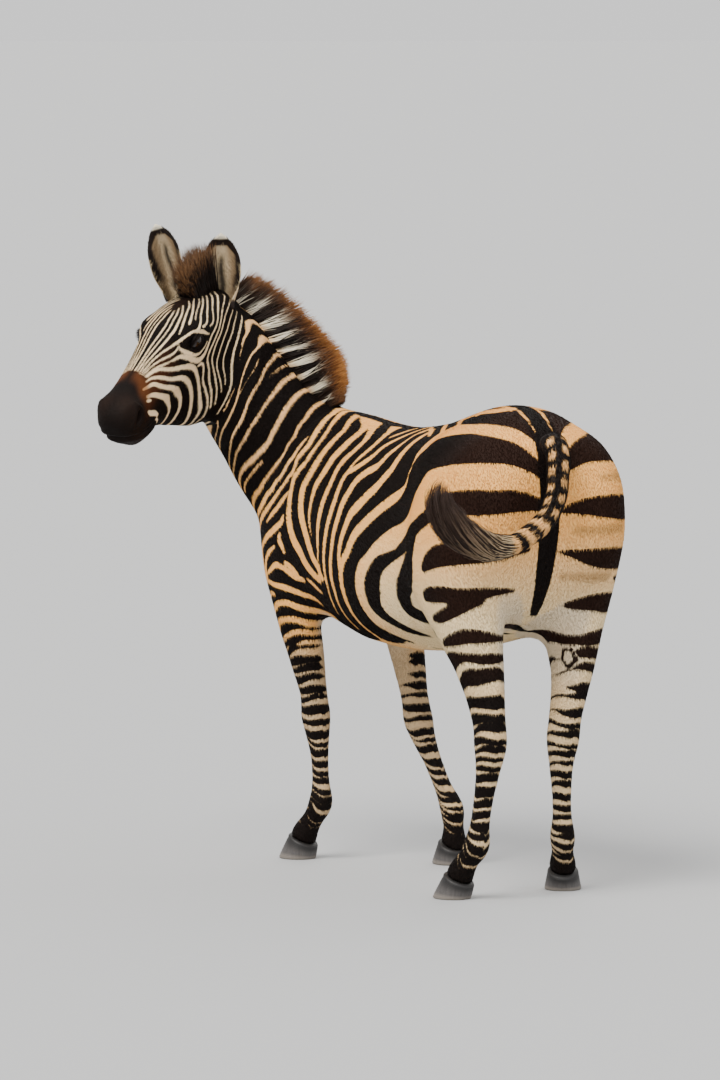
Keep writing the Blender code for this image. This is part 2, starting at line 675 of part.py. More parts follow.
# places that lie in each node, to tell the parted pieces by
FLESH_ANCHORS = {
    "trunk": (0.0, -0.05, 1.22),
    "neck": (0.66, 0.10, 1.25),
    "head": tuple(POLL),
    "foreleg_left": (0.40, 0.10, 0.30),
    "foreleg_right": (0.22, -0.16, 0.30),
    "hindleg_left": (-0.60, 0.13, 0.30),
    "hindleg_right": (-0.56, -0.12, 0.30),
}


def cut_planes():
    """Thin plates and hollow boxes that part head, neck, trunk and legs."""
    bm = bmesh.new()
    plate(bm, *HEAD_CUT, Vector((0.883, -0.469, 0)), 0.50, 0.60)
    turn = trunk_axes(SHOULDER_CUT_AT)
    lean = turn @ Vector(SHOULDER_CUT_LEAN)
    plate(bm, trunk_point(SHOULDER_CUT_AT, 0, 1.05), lean, turn.col[1], 0.62, 0.80)
    for low, high, heading, slope, floor_shift in LEG_BOXES:
        place = Matrix.Rotation(math.radians(heading), 4, "Z")
        add_shell_box(bm, low, high, place, slope, floor_shift)
    mesh = bpy.data.meshes.new("cuts")
    bm.to_mesh(mesh)
    bm.free()
    return new_object("cuts", mesh, CUTTERS)


def subtract(thing, cutter):
    cut = thing.modifiers.new("cut", "BOOLEAN")
    cut.operation = "DIFFERENCE"
    cut.object = cutter


def islands(bm):
    """Vertices of each separate piece."""
    left = set(bm.verts)
    while left:
        start = left.pop()
        piece = {start}
        edge = [start]
        while edge:
            vertex = edge.pop()
            for link in vertex.link_edges:
                other = link.other_vert(vertex)
                if other in left:
                    left.remove(other)
                    piece.add(other)
                    edge.append(other)
        yield piece


def part_body(body, anchors):
    """Split a cut body into its nodes, told by the anchors, and drop the crumbs."""
    bm = bmesh.new()
    bm.from_mesh(body.data)
    pieces = sorted(islands(bm), key=len, reverse=True)
    for name, place in anchors.items():
        anchor = Vector(place)
        nearest = min(pieces[:12], key=lambda piece: min((v.co - anchor).length for v in piece))
        keep = {v.index for v in nearest}
        copy = bmesh.new()
        copy.from_mesh(body.data)
        copy.verts.ensure_lookup_table()
        drop = [v for v in copy.verts if v.index not in keep]
        bmesh.ops.delete(copy, geom=drop, context="VERTS")
        mesh = bpy.data.meshes.new(name)
        copy.to_mesh(mesh)
        copy.free()
        new_object(name, mesh, ZEBRA)
    bm.free()


# colour, roughness
COLOURS = {
    "hoof": ((0.16, 0.145, 0.13), 0.6),
    "eye": ((0.03, 0.015, 0.01), 0.1),
    "mane": ((0.05, 0.03, 0.025), 0.9),
    "tail": ((0.06, 0.045, 0.04), 0.9),
    "forelock": ((0.05, 0.03, 0.025), 0.9),
    "coat": ((0.55, 0.47, 0.38), 0.85),
}


def finish(thing):
    """One plain material for each node; what has no entry of its own is coat."""
    kind = thing.name.split("_")[0]
    colour, roughness = COLOURS.get(kind, COLOURS["coat"])
    material = bpy.data.materials.new(thing.name)
    material.use_nodes = True
    shader = material.node_tree.nodes["Principled BSDF"]
    shader.inputs["Base Color"].default_value = (*colour, 1.0)
    shader.inputs["Roughness"].default_value = roughness
    shader.inputs["Metallic"].default_value = 0.0
    thing.data.materials.clear()
    thing.data.materials.append(material)


def main():
    clear_scene()
    whole = flesh()
    outer = new_object("outer", whole.data.copy(), CUTTERS)
    swell = outer.modifiers.new("swell", "DISPLACE")
    swell.strength = 2 * GAP
    swell.mid_level = 0.0
    settle(outer)
    subtract(whole, cut_planes())
    for name, (ankle, sole, yaw) in HOOVES.items():
        hoof(name, ankle, sole, yaw)
        subtract(whole, coronet_cutter(name, ankle, yaw))
    for name, side in (("eye_left", 1), ("eye_right", -1)):
        eye(name, side)
        subtract(whole, socket(name, side))
    settle(whole)
    part_body(whole, FLESH_ANCHORS)
    bpy.data.objects.remove(whole, do_unlink=True)
    build_ears()
    build_mane()
    build_forelock()
    build_tail()
    for name in ("ear_left", "ear_right", "mane", "forelock", "tail"):
        subtract(bpy.data.objects[name], outer)
    for thing in list(ZEBRA.objects) + list(CUTTERS.objects):
        thing.data.transform(Matrix.Translation((-ORIGIN[0], -ORIGIN[1], 0.0)))
    for thing in ZEBRA.objects:
        finish(thing)
    for cutter in CUTTERS.objects:
        cutter.hide_render = True
        cutter.display_type = "WIRE"


main()
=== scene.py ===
"""A standing plains zebra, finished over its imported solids.

One striped skin takes the place of the flesh. Hair tufts, mane, forelock, tail, ears, eyes and hooves
are pieces of their own. Frame: +X forward, +Y to the animal's left, +Z up, in metres.
"""

import math

import bmesh
import bpy
import numpy as np
from mathutils import Matrix, Vector


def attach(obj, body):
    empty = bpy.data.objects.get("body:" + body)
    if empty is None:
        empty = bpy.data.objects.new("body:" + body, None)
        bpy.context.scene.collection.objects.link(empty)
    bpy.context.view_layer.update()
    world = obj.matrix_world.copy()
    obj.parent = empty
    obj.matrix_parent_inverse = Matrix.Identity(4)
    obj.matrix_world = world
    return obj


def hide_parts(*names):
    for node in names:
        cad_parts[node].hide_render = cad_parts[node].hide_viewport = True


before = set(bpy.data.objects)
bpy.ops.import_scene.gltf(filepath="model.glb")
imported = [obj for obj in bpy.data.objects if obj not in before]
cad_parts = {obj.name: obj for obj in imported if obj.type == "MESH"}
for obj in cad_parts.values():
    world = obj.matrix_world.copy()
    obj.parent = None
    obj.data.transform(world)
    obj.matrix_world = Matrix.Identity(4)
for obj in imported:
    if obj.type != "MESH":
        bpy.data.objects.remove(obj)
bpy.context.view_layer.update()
ORIGIN = np.array((0.0330, 0.1804, 0.0))    # of the row frame, in the posing frame that places are given in
SEED = 7


def row(*place):
    """A place given in the posing frame, in the row frame."""
    return np.array(place, float) - ORIGIN


def linked(name, data):
    thing = bpy.data.objects.new(name, data)
    bpy.context.scene.collection.objects.link(thing)
    return thing


# ---------------------------------------------------------------- camera, floor and light
VIEW_HEADING, VIEW_DOWN = math.radians(-28.0), math.radians(4.41)
LENS = 329.2
CAMERA_HEIGHT, CAMERA_BACK, CAMERA_LEFT = 2.26, 17.63, 0.157
LAMPS = (   # how far each shines ahead, to the right and down, its power, width in degrees and colour
    ("key", 0.75, 0.55, 1.15, 3.6, 34, (1.0, 0.97, 0.92)),
    ("fill", 0.9, -0.9, 0.35, 0.70, 70, (0.93, 0.96, 1.0)),
    ("back", -1.0, -0.3, 0.9, 0.87, 50, (1.0, 0.96, 0.9)),
)
FLOOR_HALF = 1500.0


def aimed(thing, way):
    thing.rotation_euler = way.to_track_quat("-Z", "Y").to_euler()


def make_camera():
    """The camera; gives the level ways ahead of it and to its right."""
    ahead = Vector((math.cos(VIEW_HEADING), math.sin(VIEW_HEADING), 0.0))
    right = Vector((ahead.y, -ahead.x, 0.0))
    data = bpy.data.cameras.new("camera")
    data.sensor_fit = "HORIZONTAL"
    data.sensor_width = 36.0
    data.lens = LENS
    data.clip_start, data.clip_end = 1.0, 4000.0
    camera = linked("camera", data)
    camera.location = Vector(row(0, 0, CAMERA_HEIGHT)) - right * CAMERA_LEFT - ahead * CAMERA_BACK
    aimed(camera, ahead * math.cos(VIEW_DOWN) - Vector((0, 0, math.sin(VIEW_DOWN))))
    bpy.context.scene.camera = camera
    return ahead, right


def make_studio(ahead, right):
    for name, forward, aside, down, power, width, colour in LAMPS:
        data = bpy.data.lights.new(name, "SUN")
        data.energy, data.angle, data.color = power, math.radians(width), colour
        aimed(linked(name, data), ahead * forward + right * aside - Vector((0, 0, down)))
    world = bpy.data.worlds.new("studio")
    world.use_nodes = True
    sky = world.node_tree.nodes["Background"].inputs
    sky["Color"].default_value = (0.80, 0.80, 0.80, 1.0)
    sky["Strength"].default_value = 1.275
    bpy.context.scene.world = world
    mesh = bpy.data.meshes.new("floor")
    corners = [(x * FLOOR_HALF, y * FLOOR_HALF, 0) for x, y in ((-1, -1), (1, -1), (1, 1), (-1, 1))]
    mesh.from_pydata(corners, [], [(0, 1, 2, 3)])
    paint = Finish("floor_paint", roughness=0.95)
    paint.set("Base Color", (0.462, 0.469, 0.477, 1.0))
    mesh.materials.append(paint.material)
    linked("floor", mesh)


# ---------------------------------------------------------------- shader maths
class Value:
    """A shader socket that takes part in sums."""

    def __init__(self, finish, socket):
        self.finish, self.socket = finish, socket

    def math(self, operation, *terms):
        return self.finish.node("ShaderNodeMath", {"operation": operation}, dict(enumerate(terms or (self,))))

    def __add__(self, other):
        return self.math("ADD", self, other)

    def __sub__(self, other):
        return self.math("SUBTRACT", self, other)

    def __rsub__(self, other):
        return self.math("SUBTRACT", other, self)

    def __mul__(self, other):
        return self.math("MULTIPLY", self, other)

    def __truediv__(self, other):
        return self.math("DIVIDE", self, other)

    __radd__ = __add__
    __rmul__ = __mul__

    def ramp(self, low, high):
        """0 at low and 1 at high, eased."""
        return self.finish.node("ShaderNodeMapRange", {"interpolation_type": "SMOOTHSTEP"},
                                {"Value": self, "From Min": low, "From Max": high})


class Finish:
    """A procedural material built on one Principled shader."""

    def __init__(self, name, roughness=0.6, **constants):
        self.material = bpy.data.materials.new(name)
        self.material.use_nodes = True
        self.tree = self.material.node_tree
        self.shader = self.tree.nodes["Principled BSDF"]
        self.set("Roughness", roughness)
        for key, value in constants.items():
            self.set(key.replace("_", " ").title().replace("Ior", "IOR"), value)

    def feed(self, socket, value):
        if isinstance(value, Value):
            self.tree.links.new(value.socket, socket)
        else:
            socket.default_value = value

    def set(self, socket, value):
        self.feed(self.shader.inputs[socket], value)

    def node(self, kind, settings=None, values=None, out=0):
        made = self.tree.nodes.new(kind)
        for key, value in (settings or {}).items():
            setattr(made, key, value)
        for key, value in (values or {}).items():
            self.feed(made.inputs[key], value)
        return Value(self, made.outputs[out])

    def attribute(self, name, out="Fac"):
        return self.node("ShaderNodeAttribute", {"attribute_name": name}, out=out)

    def place(self):
        return self.node("ShaderNodeTexCoord", out="Object")

    def stretched(self, *scale):
        return self.node("ShaderNodeVectorMath", {"operation": "MULTIPLY"}, {0: self.place(), 1: scale})

    def noise(self, scale, detail=2.0, vector=None, roughness=0.5):
        return self.node("ShaderNodeTexNoise", values={
            "Vector": vector or self.place(), "Scale": scale, "Detail": detail, "Roughness": roughness})

    def mix(self, factor, a, b):
        """Colour a where factor is 0 and b where it is 1."""
        a, b = [v if isinstance(v, Value) else (*v, 1.0) for v in (a, b)]
        return self.node("ShaderNodeMix", {"data_type": "RGBA"}, {0: factor, 6: a, 7: b}, out=2)

    def bump(self, height, strength, distance):
        self.set("Normal", self.node("ShaderNodeBump", values={
            "Strength": strength, "Distance": distance, "Height": height}))


def srgb(*numbers):
    """Linear colour from the 0 to 255 numbers that paint charts use."""
    shares = [v / 255.0 for v in numbers]
    return tuple(v / 12.92 if v <= 0.04045 else ((v + 0.055) / 1.055) ** 2.4 for v in shares)


# ---------------------------------------------------------------- meshes as arrays
def new_piece(name, mesh, replaces, finish):
    """Link a mesh as a piece of the model that rides on its one body."""
    thing = linked(name, mesh)
    mesh.polygons.foreach_set("use_smooth", np.ones(len(mesh.polygons), bool))
    mesh.materials.clear()
    mesh.materials.append(finish.material)
    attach(thing, "root")
    if replaces:
        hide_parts(*replaces)


def read(items, field, width, kind=np.int32):
    values = np.empty(len(items) * width, kind)
    items.foreach_get(field, values)
    return values.reshape(-1, width)


def points_of(mesh):
    return read(mesh.vertices, "co", 3, np.float32).astype(float)


def move_points(mesh, co):
    mesh.vertices.foreach_set("co", co.astype(np.float32).ravel())
    mesh.update()


def triangles_of(mesh):
    mesh.calc_loop_triangles()
    return read(mesh.loop_triangles, "vertices", 3)


def keep(mesh, name, values):
    """Store a number or a colour at each point for the finish to read."""
    if np.ndim(values) == 1:
        kind, field = "FLOAT", "value"
    else:
        kind, field = "FLOAT_COLOR", "color"
        values = np.hstack((values, np.ones((len(values), 1))))
    mesh.attributes.new(name, kind, "POINT").data.foreach_set(field, np.asarray(values, np.float32).ravel())


def mesh_of(name, points, faces, places=None):
    """A mesh of triangles from arrays, with its map where places are given."""
    mesh = bpy.data.meshes.new(name)
    mesh.vertices.add(len(points))
    mesh.vertices.foreach_set("co", np.asarray(points, np.float32).ravel())
    mesh.loops.add(faces.size)
    mesh.loops.foreach_set("vertex_index", np.asarray(faces, np.int32).ravel())
    mesh.polygons.add(len(faces))
    mesh.polygons.foreach_set("loop_start", np.arange(0, faces.size, 3, dtype=np.int32))
    mesh.update(calc_edges=True)
    if places is not None:
        mesh.uv_layers.new(name="OFBake").data.foreach_set("uv", places.astype(np.float32).ravel())
    return mesh


def quads(a, b, c, d):
    """Two triangles for each four corners."""
    return np.stack((a, b, c, a, c, d), -1).reshape(-1, 3)


def tube_faces(rings, sides):
    """Triangles of a tube of rings, closed at each end round two last points."""
    spot = np.arange(rings * sides).reshape(rings, sides)
    after = np.roll(spot, -1, axis=1)
    hub = np.full(sides, rings * sides)
    return np.vstack((quads(spot[:-1], after[:-1], after[1:], spot[1:]),
                      np.stack((after[0], spot[0], hub), 1), np.stack((spot[-1], after[-1], hub + 1), 1)))


def normed(v):
    return v / np.maximum(np.linalg.norm(v, axis=-1, keepdims=True), 1e-9)


def normals_of(co, tris):
    a, b, c = co[tris].swapaxes(0, 1)
    areas = np.cross(b - a, c - a).T
    total = [sum(np.bincount(corner, axis, len(co)) for corner in tris.T) for axis in areas]
    return normed(np.stack(total, 1))


def eased(co, mesh, weight, rounds, pulls=(0.5, -0.52)):
    """Smooth points: each round pulls them in and, by default, pushes them out again."""
    edges = read(mesh.edges, "vertices", 2)
    here, there = np.concatenate((edges, edges[:, ::-1])).T
    degree = np.maximum(np.bincount(here, minlength=len(co)), 1)
    for pull in pulls * rounds:
        mean = np.stack([np.bincount(here, axis[there], len(co)) for axis in co.T], 1) / degree[:, None]
        co = co + (mean - co) * (pull * weight)[:, None]
    return co


def soft(x, low, high):
    """0 below low, 1 above high, eased between."""
    t = np.clip((x - low) / (high - low), 0, 1)
    return t * t * (3 - 2 * t)


def hump(x, middle, half):
    """1 at the middle, falling off smoothly to both sides."""
    return np.exp(-((x - middle) / half) ** 2)


def blended(colour, *layers):
    """A colour with further (colour, share) layers over it, at each point."""
    for over, share in layers:
        colour = np.asarray(colour) * (1 - share[:, None]) + np.asarray(over) * share[:, None]
    return colour


def run_of(path):
    """Distance along a path at each of its points."""
    return np.append(0.0, np.cumsum(np.linalg.norm(np.diff(path, axis=0), axis=1)))


def on_run(stop, run, values):
    return np.stack([np.interp(stop, run, column) for column in np.transpose(values)], 1)


def finer(stroke, parts=5):
    """More points along a stroke, on a smooth curve through the ones given."""
    p = np.array(stroke, float)
    ends = np.vstack((2 * p[0] - p[1], p, 2 * p[-1] - p[-2]))
    a, b, c, d = [ends[k:len(p) - 1 + k, None] for k in range(4)]
    t = (np.arange(parts) / parts)[:, None]
    bend, twist = 2 * a - 5 * b + 4 * c - d, 3 * b - a - 3 * c + d
    out = 0.5 * (2 * b + (c - a) * t + bend * t ** 2 + twist * t ** 3)
    return np.vstack((out.reshape(-1, p.shape[1]), p[-1:]))


# ---------------------------------------------------------------- the animal's own measures
TAIL_ROOT = (-0.64, -0.035, 0.0)
SPINE_LENGTH = 1.05
PELVIS_HEADING, WITHERS_HEADING = math.radians(-12.0), math.radians(16.0)
POLL = row(0.718, 0.276, 1.552)
HEAD_AXES = np.array(
    Matrix.Rotation(math.radians(121.0), 3, "Z") @ Matrix.Rotation(math.radians(31.0), 3, "Y")
    @ Matrix.Rotation(math.radians(-4.5), 3, "X"))
FACEWARD, HEAD_LEFT, BROWWARD = HEAD_AXES.T
HEAD_SCALE = 1.075
EYE = (0.209, 0.081, -0.013)
EYE_SINK = 0.0170
BALL_RADIUS, LID_RADIUS = 0.0235, 0.0262
FISSURE_LENGTH = 0.0240     # half of the open eye, corner to corner
LID_RISE, LID_FALL = 0.0128, 0.0104     # of the open eye over and under its corners
NOSTRIL = (0.497, 0.047, -0.052)
MOUTH_CORNER = 0.398
FLESH = ("head", "neck", "trunk", "foreleg_left", "foreleg_right", "hindleg_left", "hindleg_right")
SKIN_GRAIN = 0.0088


def spine_places(co):
    """Distance forward of the tail root along the curved spine, and to the left of it."""
    radius = SPINE_LENGTH / (WITHERS_HEADING - PELVIS_HEADING)
    root = row(*TAIL_ROOT)
    dx = co[:, 0] - root[0] + radius * math.sin(PELVIS_HEADING)
    dy = co[:, 1] - root[1] - radius * math.cos(PELVIS_HEADING)
    return (np.arctan2(dx, -dy) - PELVIS_HEADING) * radius, radius - np.hypot(dx, dy)


def head_places(co):
    """Ahead of the poll, to the head's left, and up out of the forehead, in the head's measures."""
    return (co - POLL) @ HEAD_AXES / HEAD_SCALE


def head_point(s, left, up):
    return POLL + HEAD_AXES @ (s, left, up) * HEAD_SCALE


def head_share(co):
    """1 on the head, fading to 0 on the upper neck."""
    away = np.linalg.norm((head_places(co) - (0.24, 0.0, -0.09)) / (0.36, 0.16, 0.26), axis=1)
    return 1 - soft(away, 0.95, 1.25)


# ---------------------------------------------------------------- skin
def fused_flesh():
    """All the flesh nodes as one closed mesh of even quads."""
    bm = bmesh.new()
    for name in FLESH:
        bm.from_mesh(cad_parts[name].data)
    mesh = bpy.data.meshes.new("flesh")
    bm.to_mesh(mesh)
    bm.free()
    thing = linked("fused", mesh)
    remesh = thing.modifiers.new("fuse", "REMESH")
    remesh.mode = "VOXEL"
    remesh.voxel_size = SKIN_GRAIN
    graph = bpy.context.evaluated_depsgraph_get()
    skin = bpy.data.meshes.new_from_object(thing.evaluated_get(graph))
    bpy.data.objects.remove(thing, do_unlink=True)
    skin.name = "skin"
    return skin


def refine(mesh, share, limit):
    """Split the edges whose two ends both have share above limit."""
    bm = bmesh.new()
    bm.from_mesh(mesh)
    edges = [e for e in bm.edges if all(share[v.index] > limit for v in e.verts)]
    bmesh.ops.subdivide_edges(bm, edges=edges, cuts=1, use_grid_fill=True)
    bm.to_mesh(mesh)
    bm.free()


def near(co, place, reach):
    return 1 - soft(np.linalg.norm(co - head_point(*place), axis=1), reach * 0.8, reach)


def shape_skin():
    mesh = fused_flesh()
    co = points_of(mesh)
    give = np.clip(1 - 0.94 * (1 - soft(co[:, 2], 0.58, 0.74)) - 0.90 * head_share(co), 0.04, 1)
    co = eased(co, mesh, give, 70, (0.5,))      # trunk and neck are smoothed most
    co = eased(co, mesh, np.full(len(co), 0.9), 24)
    move_points(mesh, co)
    along, _ = neck_chart(co)
    fine = np.maximum(head_share(co), soft(along, 0.16, 0.2) * (co[:, 0] > 0.3) * (co[:, 2] > 0.9))
    refine(mesh, np.maximum(fine, co[:, 2] < 0.63), 0.4)
    for reach, snout in ((0.055, 0.06), (0.036, 0.0)):
        co = points_of(mesh)
        share = np.zeros(len(co))
        for side in (-1, 1):
            share = np.maximum(share, near(co, (EYE[0], side * EYE[1], EYE[2]), reach))
            if snout:
                share = np.maximum(share, near(co, (0.49, side * 0.04, -0.06), snout))
        refine(mesh, share, 0.1)
    co, tris = points_of(mesh), triangles_of(mesh)
    co = eased(co, mesh, np.clip(head_share(co), 0.1, 1), 6)
    depth = 0.0010 + 0.0025 * soft(co[:, 2], 0.45, 0.8) * (1 - head_share(co))      # of the coat
    co = co - normals_of(co, tris) * depth[:, None]
    move_points(mesh, shape_lids(shape_muzzle(co, normals_of(co, tris))))
    return mesh


def eye_frame(side):
    """Centre of the eyeball, and unit axes: out of the eye, towards its front corner, and up."""
    out = normed(HEAD_AXES @ (0.38, side * 0.91, 0.13))
    front = HEAD_AXES @ (0.93, 0.0, -0.28)
    front = normed(front - out * front.dot(out))
    up = np.cross(out, front)
    return head_point(EYE[0], side * EYE[1], EYE[2]) - out * EYE_SINK, out, front, up * np.sign(up[2])


def eye_opening(t, u):
    """Below 1 inside the almond between the lids: t towards the front corner, u up, metres."""
    far = t / FISSURE_LENGTH
    tall = np.where(u > 0, LID_RISE, LID_FALL) * (1 - 0.12 * np.clip(far, -1, 1))
    return np.hypot(far, u / tall)


def shape_lids(co):
    """Lids drawn over the eyeball, their rims, and the fold of the brow."""
    for side in (-1, 1):
        centre, out, front, up = eye_frame(side)
        off = co - centre
        t, u, w = off @ front, off @ up, off @ out
        share = (1 - soft(np.hypot(t / 0.036, u / 0.030), 0.72, 1.15)) * (w > 0)
        length = np.maximum(np.linalg.norm(off, axis=1), 1e-6)
        opening = eye_opening(t / length * LID_RADIUS, u / length * LID_RADIUS)
        lid = BALL_RADIUS + 0.0030 - 0.0012 * hump(opening, 1.75, 0.22) + 0.0012 * hump(opening, 1.18, 0.16)
        radius = lid + (BALL_RADIUS - 0.0045 - lid) * (1 - soft(opening, 0.90, 1.06))
        co = blended(co, (centre + off / length[:, None] * radius[:, None], share))
        fold = hump(opening, 2.45, 0.30) * (u > -0.004) * (w > -0.01)
        co = co + out * (0.0016 * fold)[:, None]
    return co


def shape_muzzle(co, out):
    """Nostrils with their rims, and the line of the mouth between the lips."""
    s, left, up = head_places(co).T
    for side in (-1, 1):
        ds, du = s - NOSTRIL[0], up - NOSTRIL[2]
        long, wide = 0.60 * ds - 0.80 * du, 0.80 * ds + 0.60 * du
        ring = np.hypot(long / 0.021, (wide - 12.0 * long ** 2) / 0.0105)
        here = (left * side > 0.012) * head_share(co)
        co = co - out * (0.016 * (1 - soft(ring, 0.35, 1.0)) * here)[:, None]
        co = co + out * (0.0030 * hump(ring, 1.35, 0.32) * here)[:, None]
    along = soft(s, MOUTH_CORNER - 0.008, MOUTH_CORNER + 0.02) * head_share(co)
    off_line = np.abs(up + 0.104 + 0.10 * np.maximum(0.50 - s, 0) - 0.30 * np.maximum(s - 0.50, 0))
    lips, groove = hump(off_line, 0.012, 0.007) * along, hump(off_line, 0.0, 0.0042) * along
    return co + out * (0.0020 * lips - 0.0055 * groove)[:, None]


# ---------------------------------------------------------------- charts that the markings are drawn on
# x, y, z of the neck's stations, and the crest's height over them
CREST = ((0.320, -0.010, 0.955, 0.245), (0.460, 0.035, 1.010, 0.245), (0.585, 0.090, 1.105, 0.205),
         (0.668, 0.140, 1.225, 0.172), (0.708, 0.185, 1.335, 0.137), (0.724, 0.225, 1.415, 0.112),
         (0.722, 0.272, 1.462, 0.078))
NECK_TOP = 1.490
NECK = np.array([(x, y, z) for x, y, z, _ in CREST[:-1]] + [(*CREST[-1][:2], NECK_TOP)]) - ORIGIN
RUMP_TURN = 0.20        # where the rump starts to curve round to the tail, forward of the tail root
LEG_AXES = {            # height, forward, left
    "fore_left": ((0.035, 0.432, 0.130), (0.115, 0.398, 0.112), (0.16, 0.374, 0.102), (0.28, 0.386, 0.098),
                  (0.395, 0.402, 0.101), (0.56, 0.412, 0.125), (0.74, 0.440, 0.146), (0.95, 0.485, 0.105)),
    "fore_right": ((0.035, 0.120, -0.174), (0.105, 0.118, -0.172), (0.15, 0.123, -0.170),
                   (0.27, 0.212, -0.161), (0.385, 0.281, -0.152), (0.56, 0.305, -0.132),
                   (0.74, 0.345, -0.112), (0.95, 0.430, -0.085)),
    "hind_left": ((0.035, -0.510, 0.160), (0.11, -0.548, 0.148), (0.15, -0.576, 0.140), (0.27, -0.595, 0.130),
                  (0.41, -0.612, 0.119), (0.56, -0.564, 0.114), (0.75, -0.470, 0.112), (0.98, -0.435, 0.095)),
    "hind_right": ((0.035, -0.484, -0.172), (0.11, -0.512, -0.154), (0.15, -0.535, -0.140),
                   (0.27, -0.557, -0.125), (0.41, -0.580, -0.116), (0.56, -0.545, -0.158),
                   (0.75, -0.455, -0.212), (0.98, -0.430, -0.202)),
}


def neck_chart(co):
    """Along the neck from the chest up, and across it towards the crest."""
    gaps, alongs, crosses = [], [], []
    stops = run_of(NECK)
    for k, (a, b) in enumerate(zip(NECK[:-1], NECK[1:])):
        way = normed(b - a)
        beyond = 0.2 if k == len(NECK) - 2 else 0.0
        t = np.clip((co - a) @ way, 0.0 if k else -0.3, stops[k + 1] - stops[k] + beyond)
        off = co - a - t[:, None] * way
        gaps.append(np.linalg.norm(off, axis=1))
        alongs.append(stops[k] + t)
        crosses.append(off @ normed(np.cross(np.cross(way, (-0.36, -0.16, 0.5)), way)))
    nearest = np.argmin(gaps, axis=0), np.arange(len(co))
    return np.array(alongs)[nearest], np.array(crosses)[nearest]


def trunk_chart(co):
    """Along the side and round the rump to the tail, height, and left of the spine."""
    s, left = spine_places(co)
    along, _ = neck_chart(co)       # the far side of the neck is mirrored in the neck's own middle plane
    stops = run_of(NECK)
    way = normed(on_run(along, stops, normed(np.gradient(NECK[:, :2], axis=0))))
    side = np.stack((-way[:, 1], way[:, 0]), 1)
    gap = ((co[:, :2] - on_run(along, stops, NECK[:, :2])) * side).sum(1)
    mirrored = co[:, :2] - 2 * np.minimum(gap, 0)[:, None] * side
    neck = soft(along, 0.10, 0.30)
    s = s + (spine_places(mirrored)[0] - s) * neck
    left = left + (gap - left) * neck
    turn = np.arctan2(np.abs(left) + 0.014, s - RUMP_TURN) - math.pi / 2
    return np.where(s > RUMP_TURN, s, RUMP_TURN - turn * 0.22), co[:, 2], left


def face_chart(co):
    """Ahead of the poll, the girth from the midline of the face out over its side, and left."""
    s, left, up = head_places(co).T
    top = np.interp(s, (0.0, 0.08, 0.20, 0.30, 0.40, 0.50), (0.020, 0.036, 0.046, 0.030, 0.012, -0.015))
    return s, np.abs(left) + np.maximum(top - up, 0), left


def leg_places(co, leg):
    """Forward and left of a leg's own axis at each point's height."""
    table = np.array(LEG_AXES[leg])
    return (co[:, :2] - on_run(co[:, 2], table[:, 0], table[:, 1:]) + ORIGIN[:2]).T


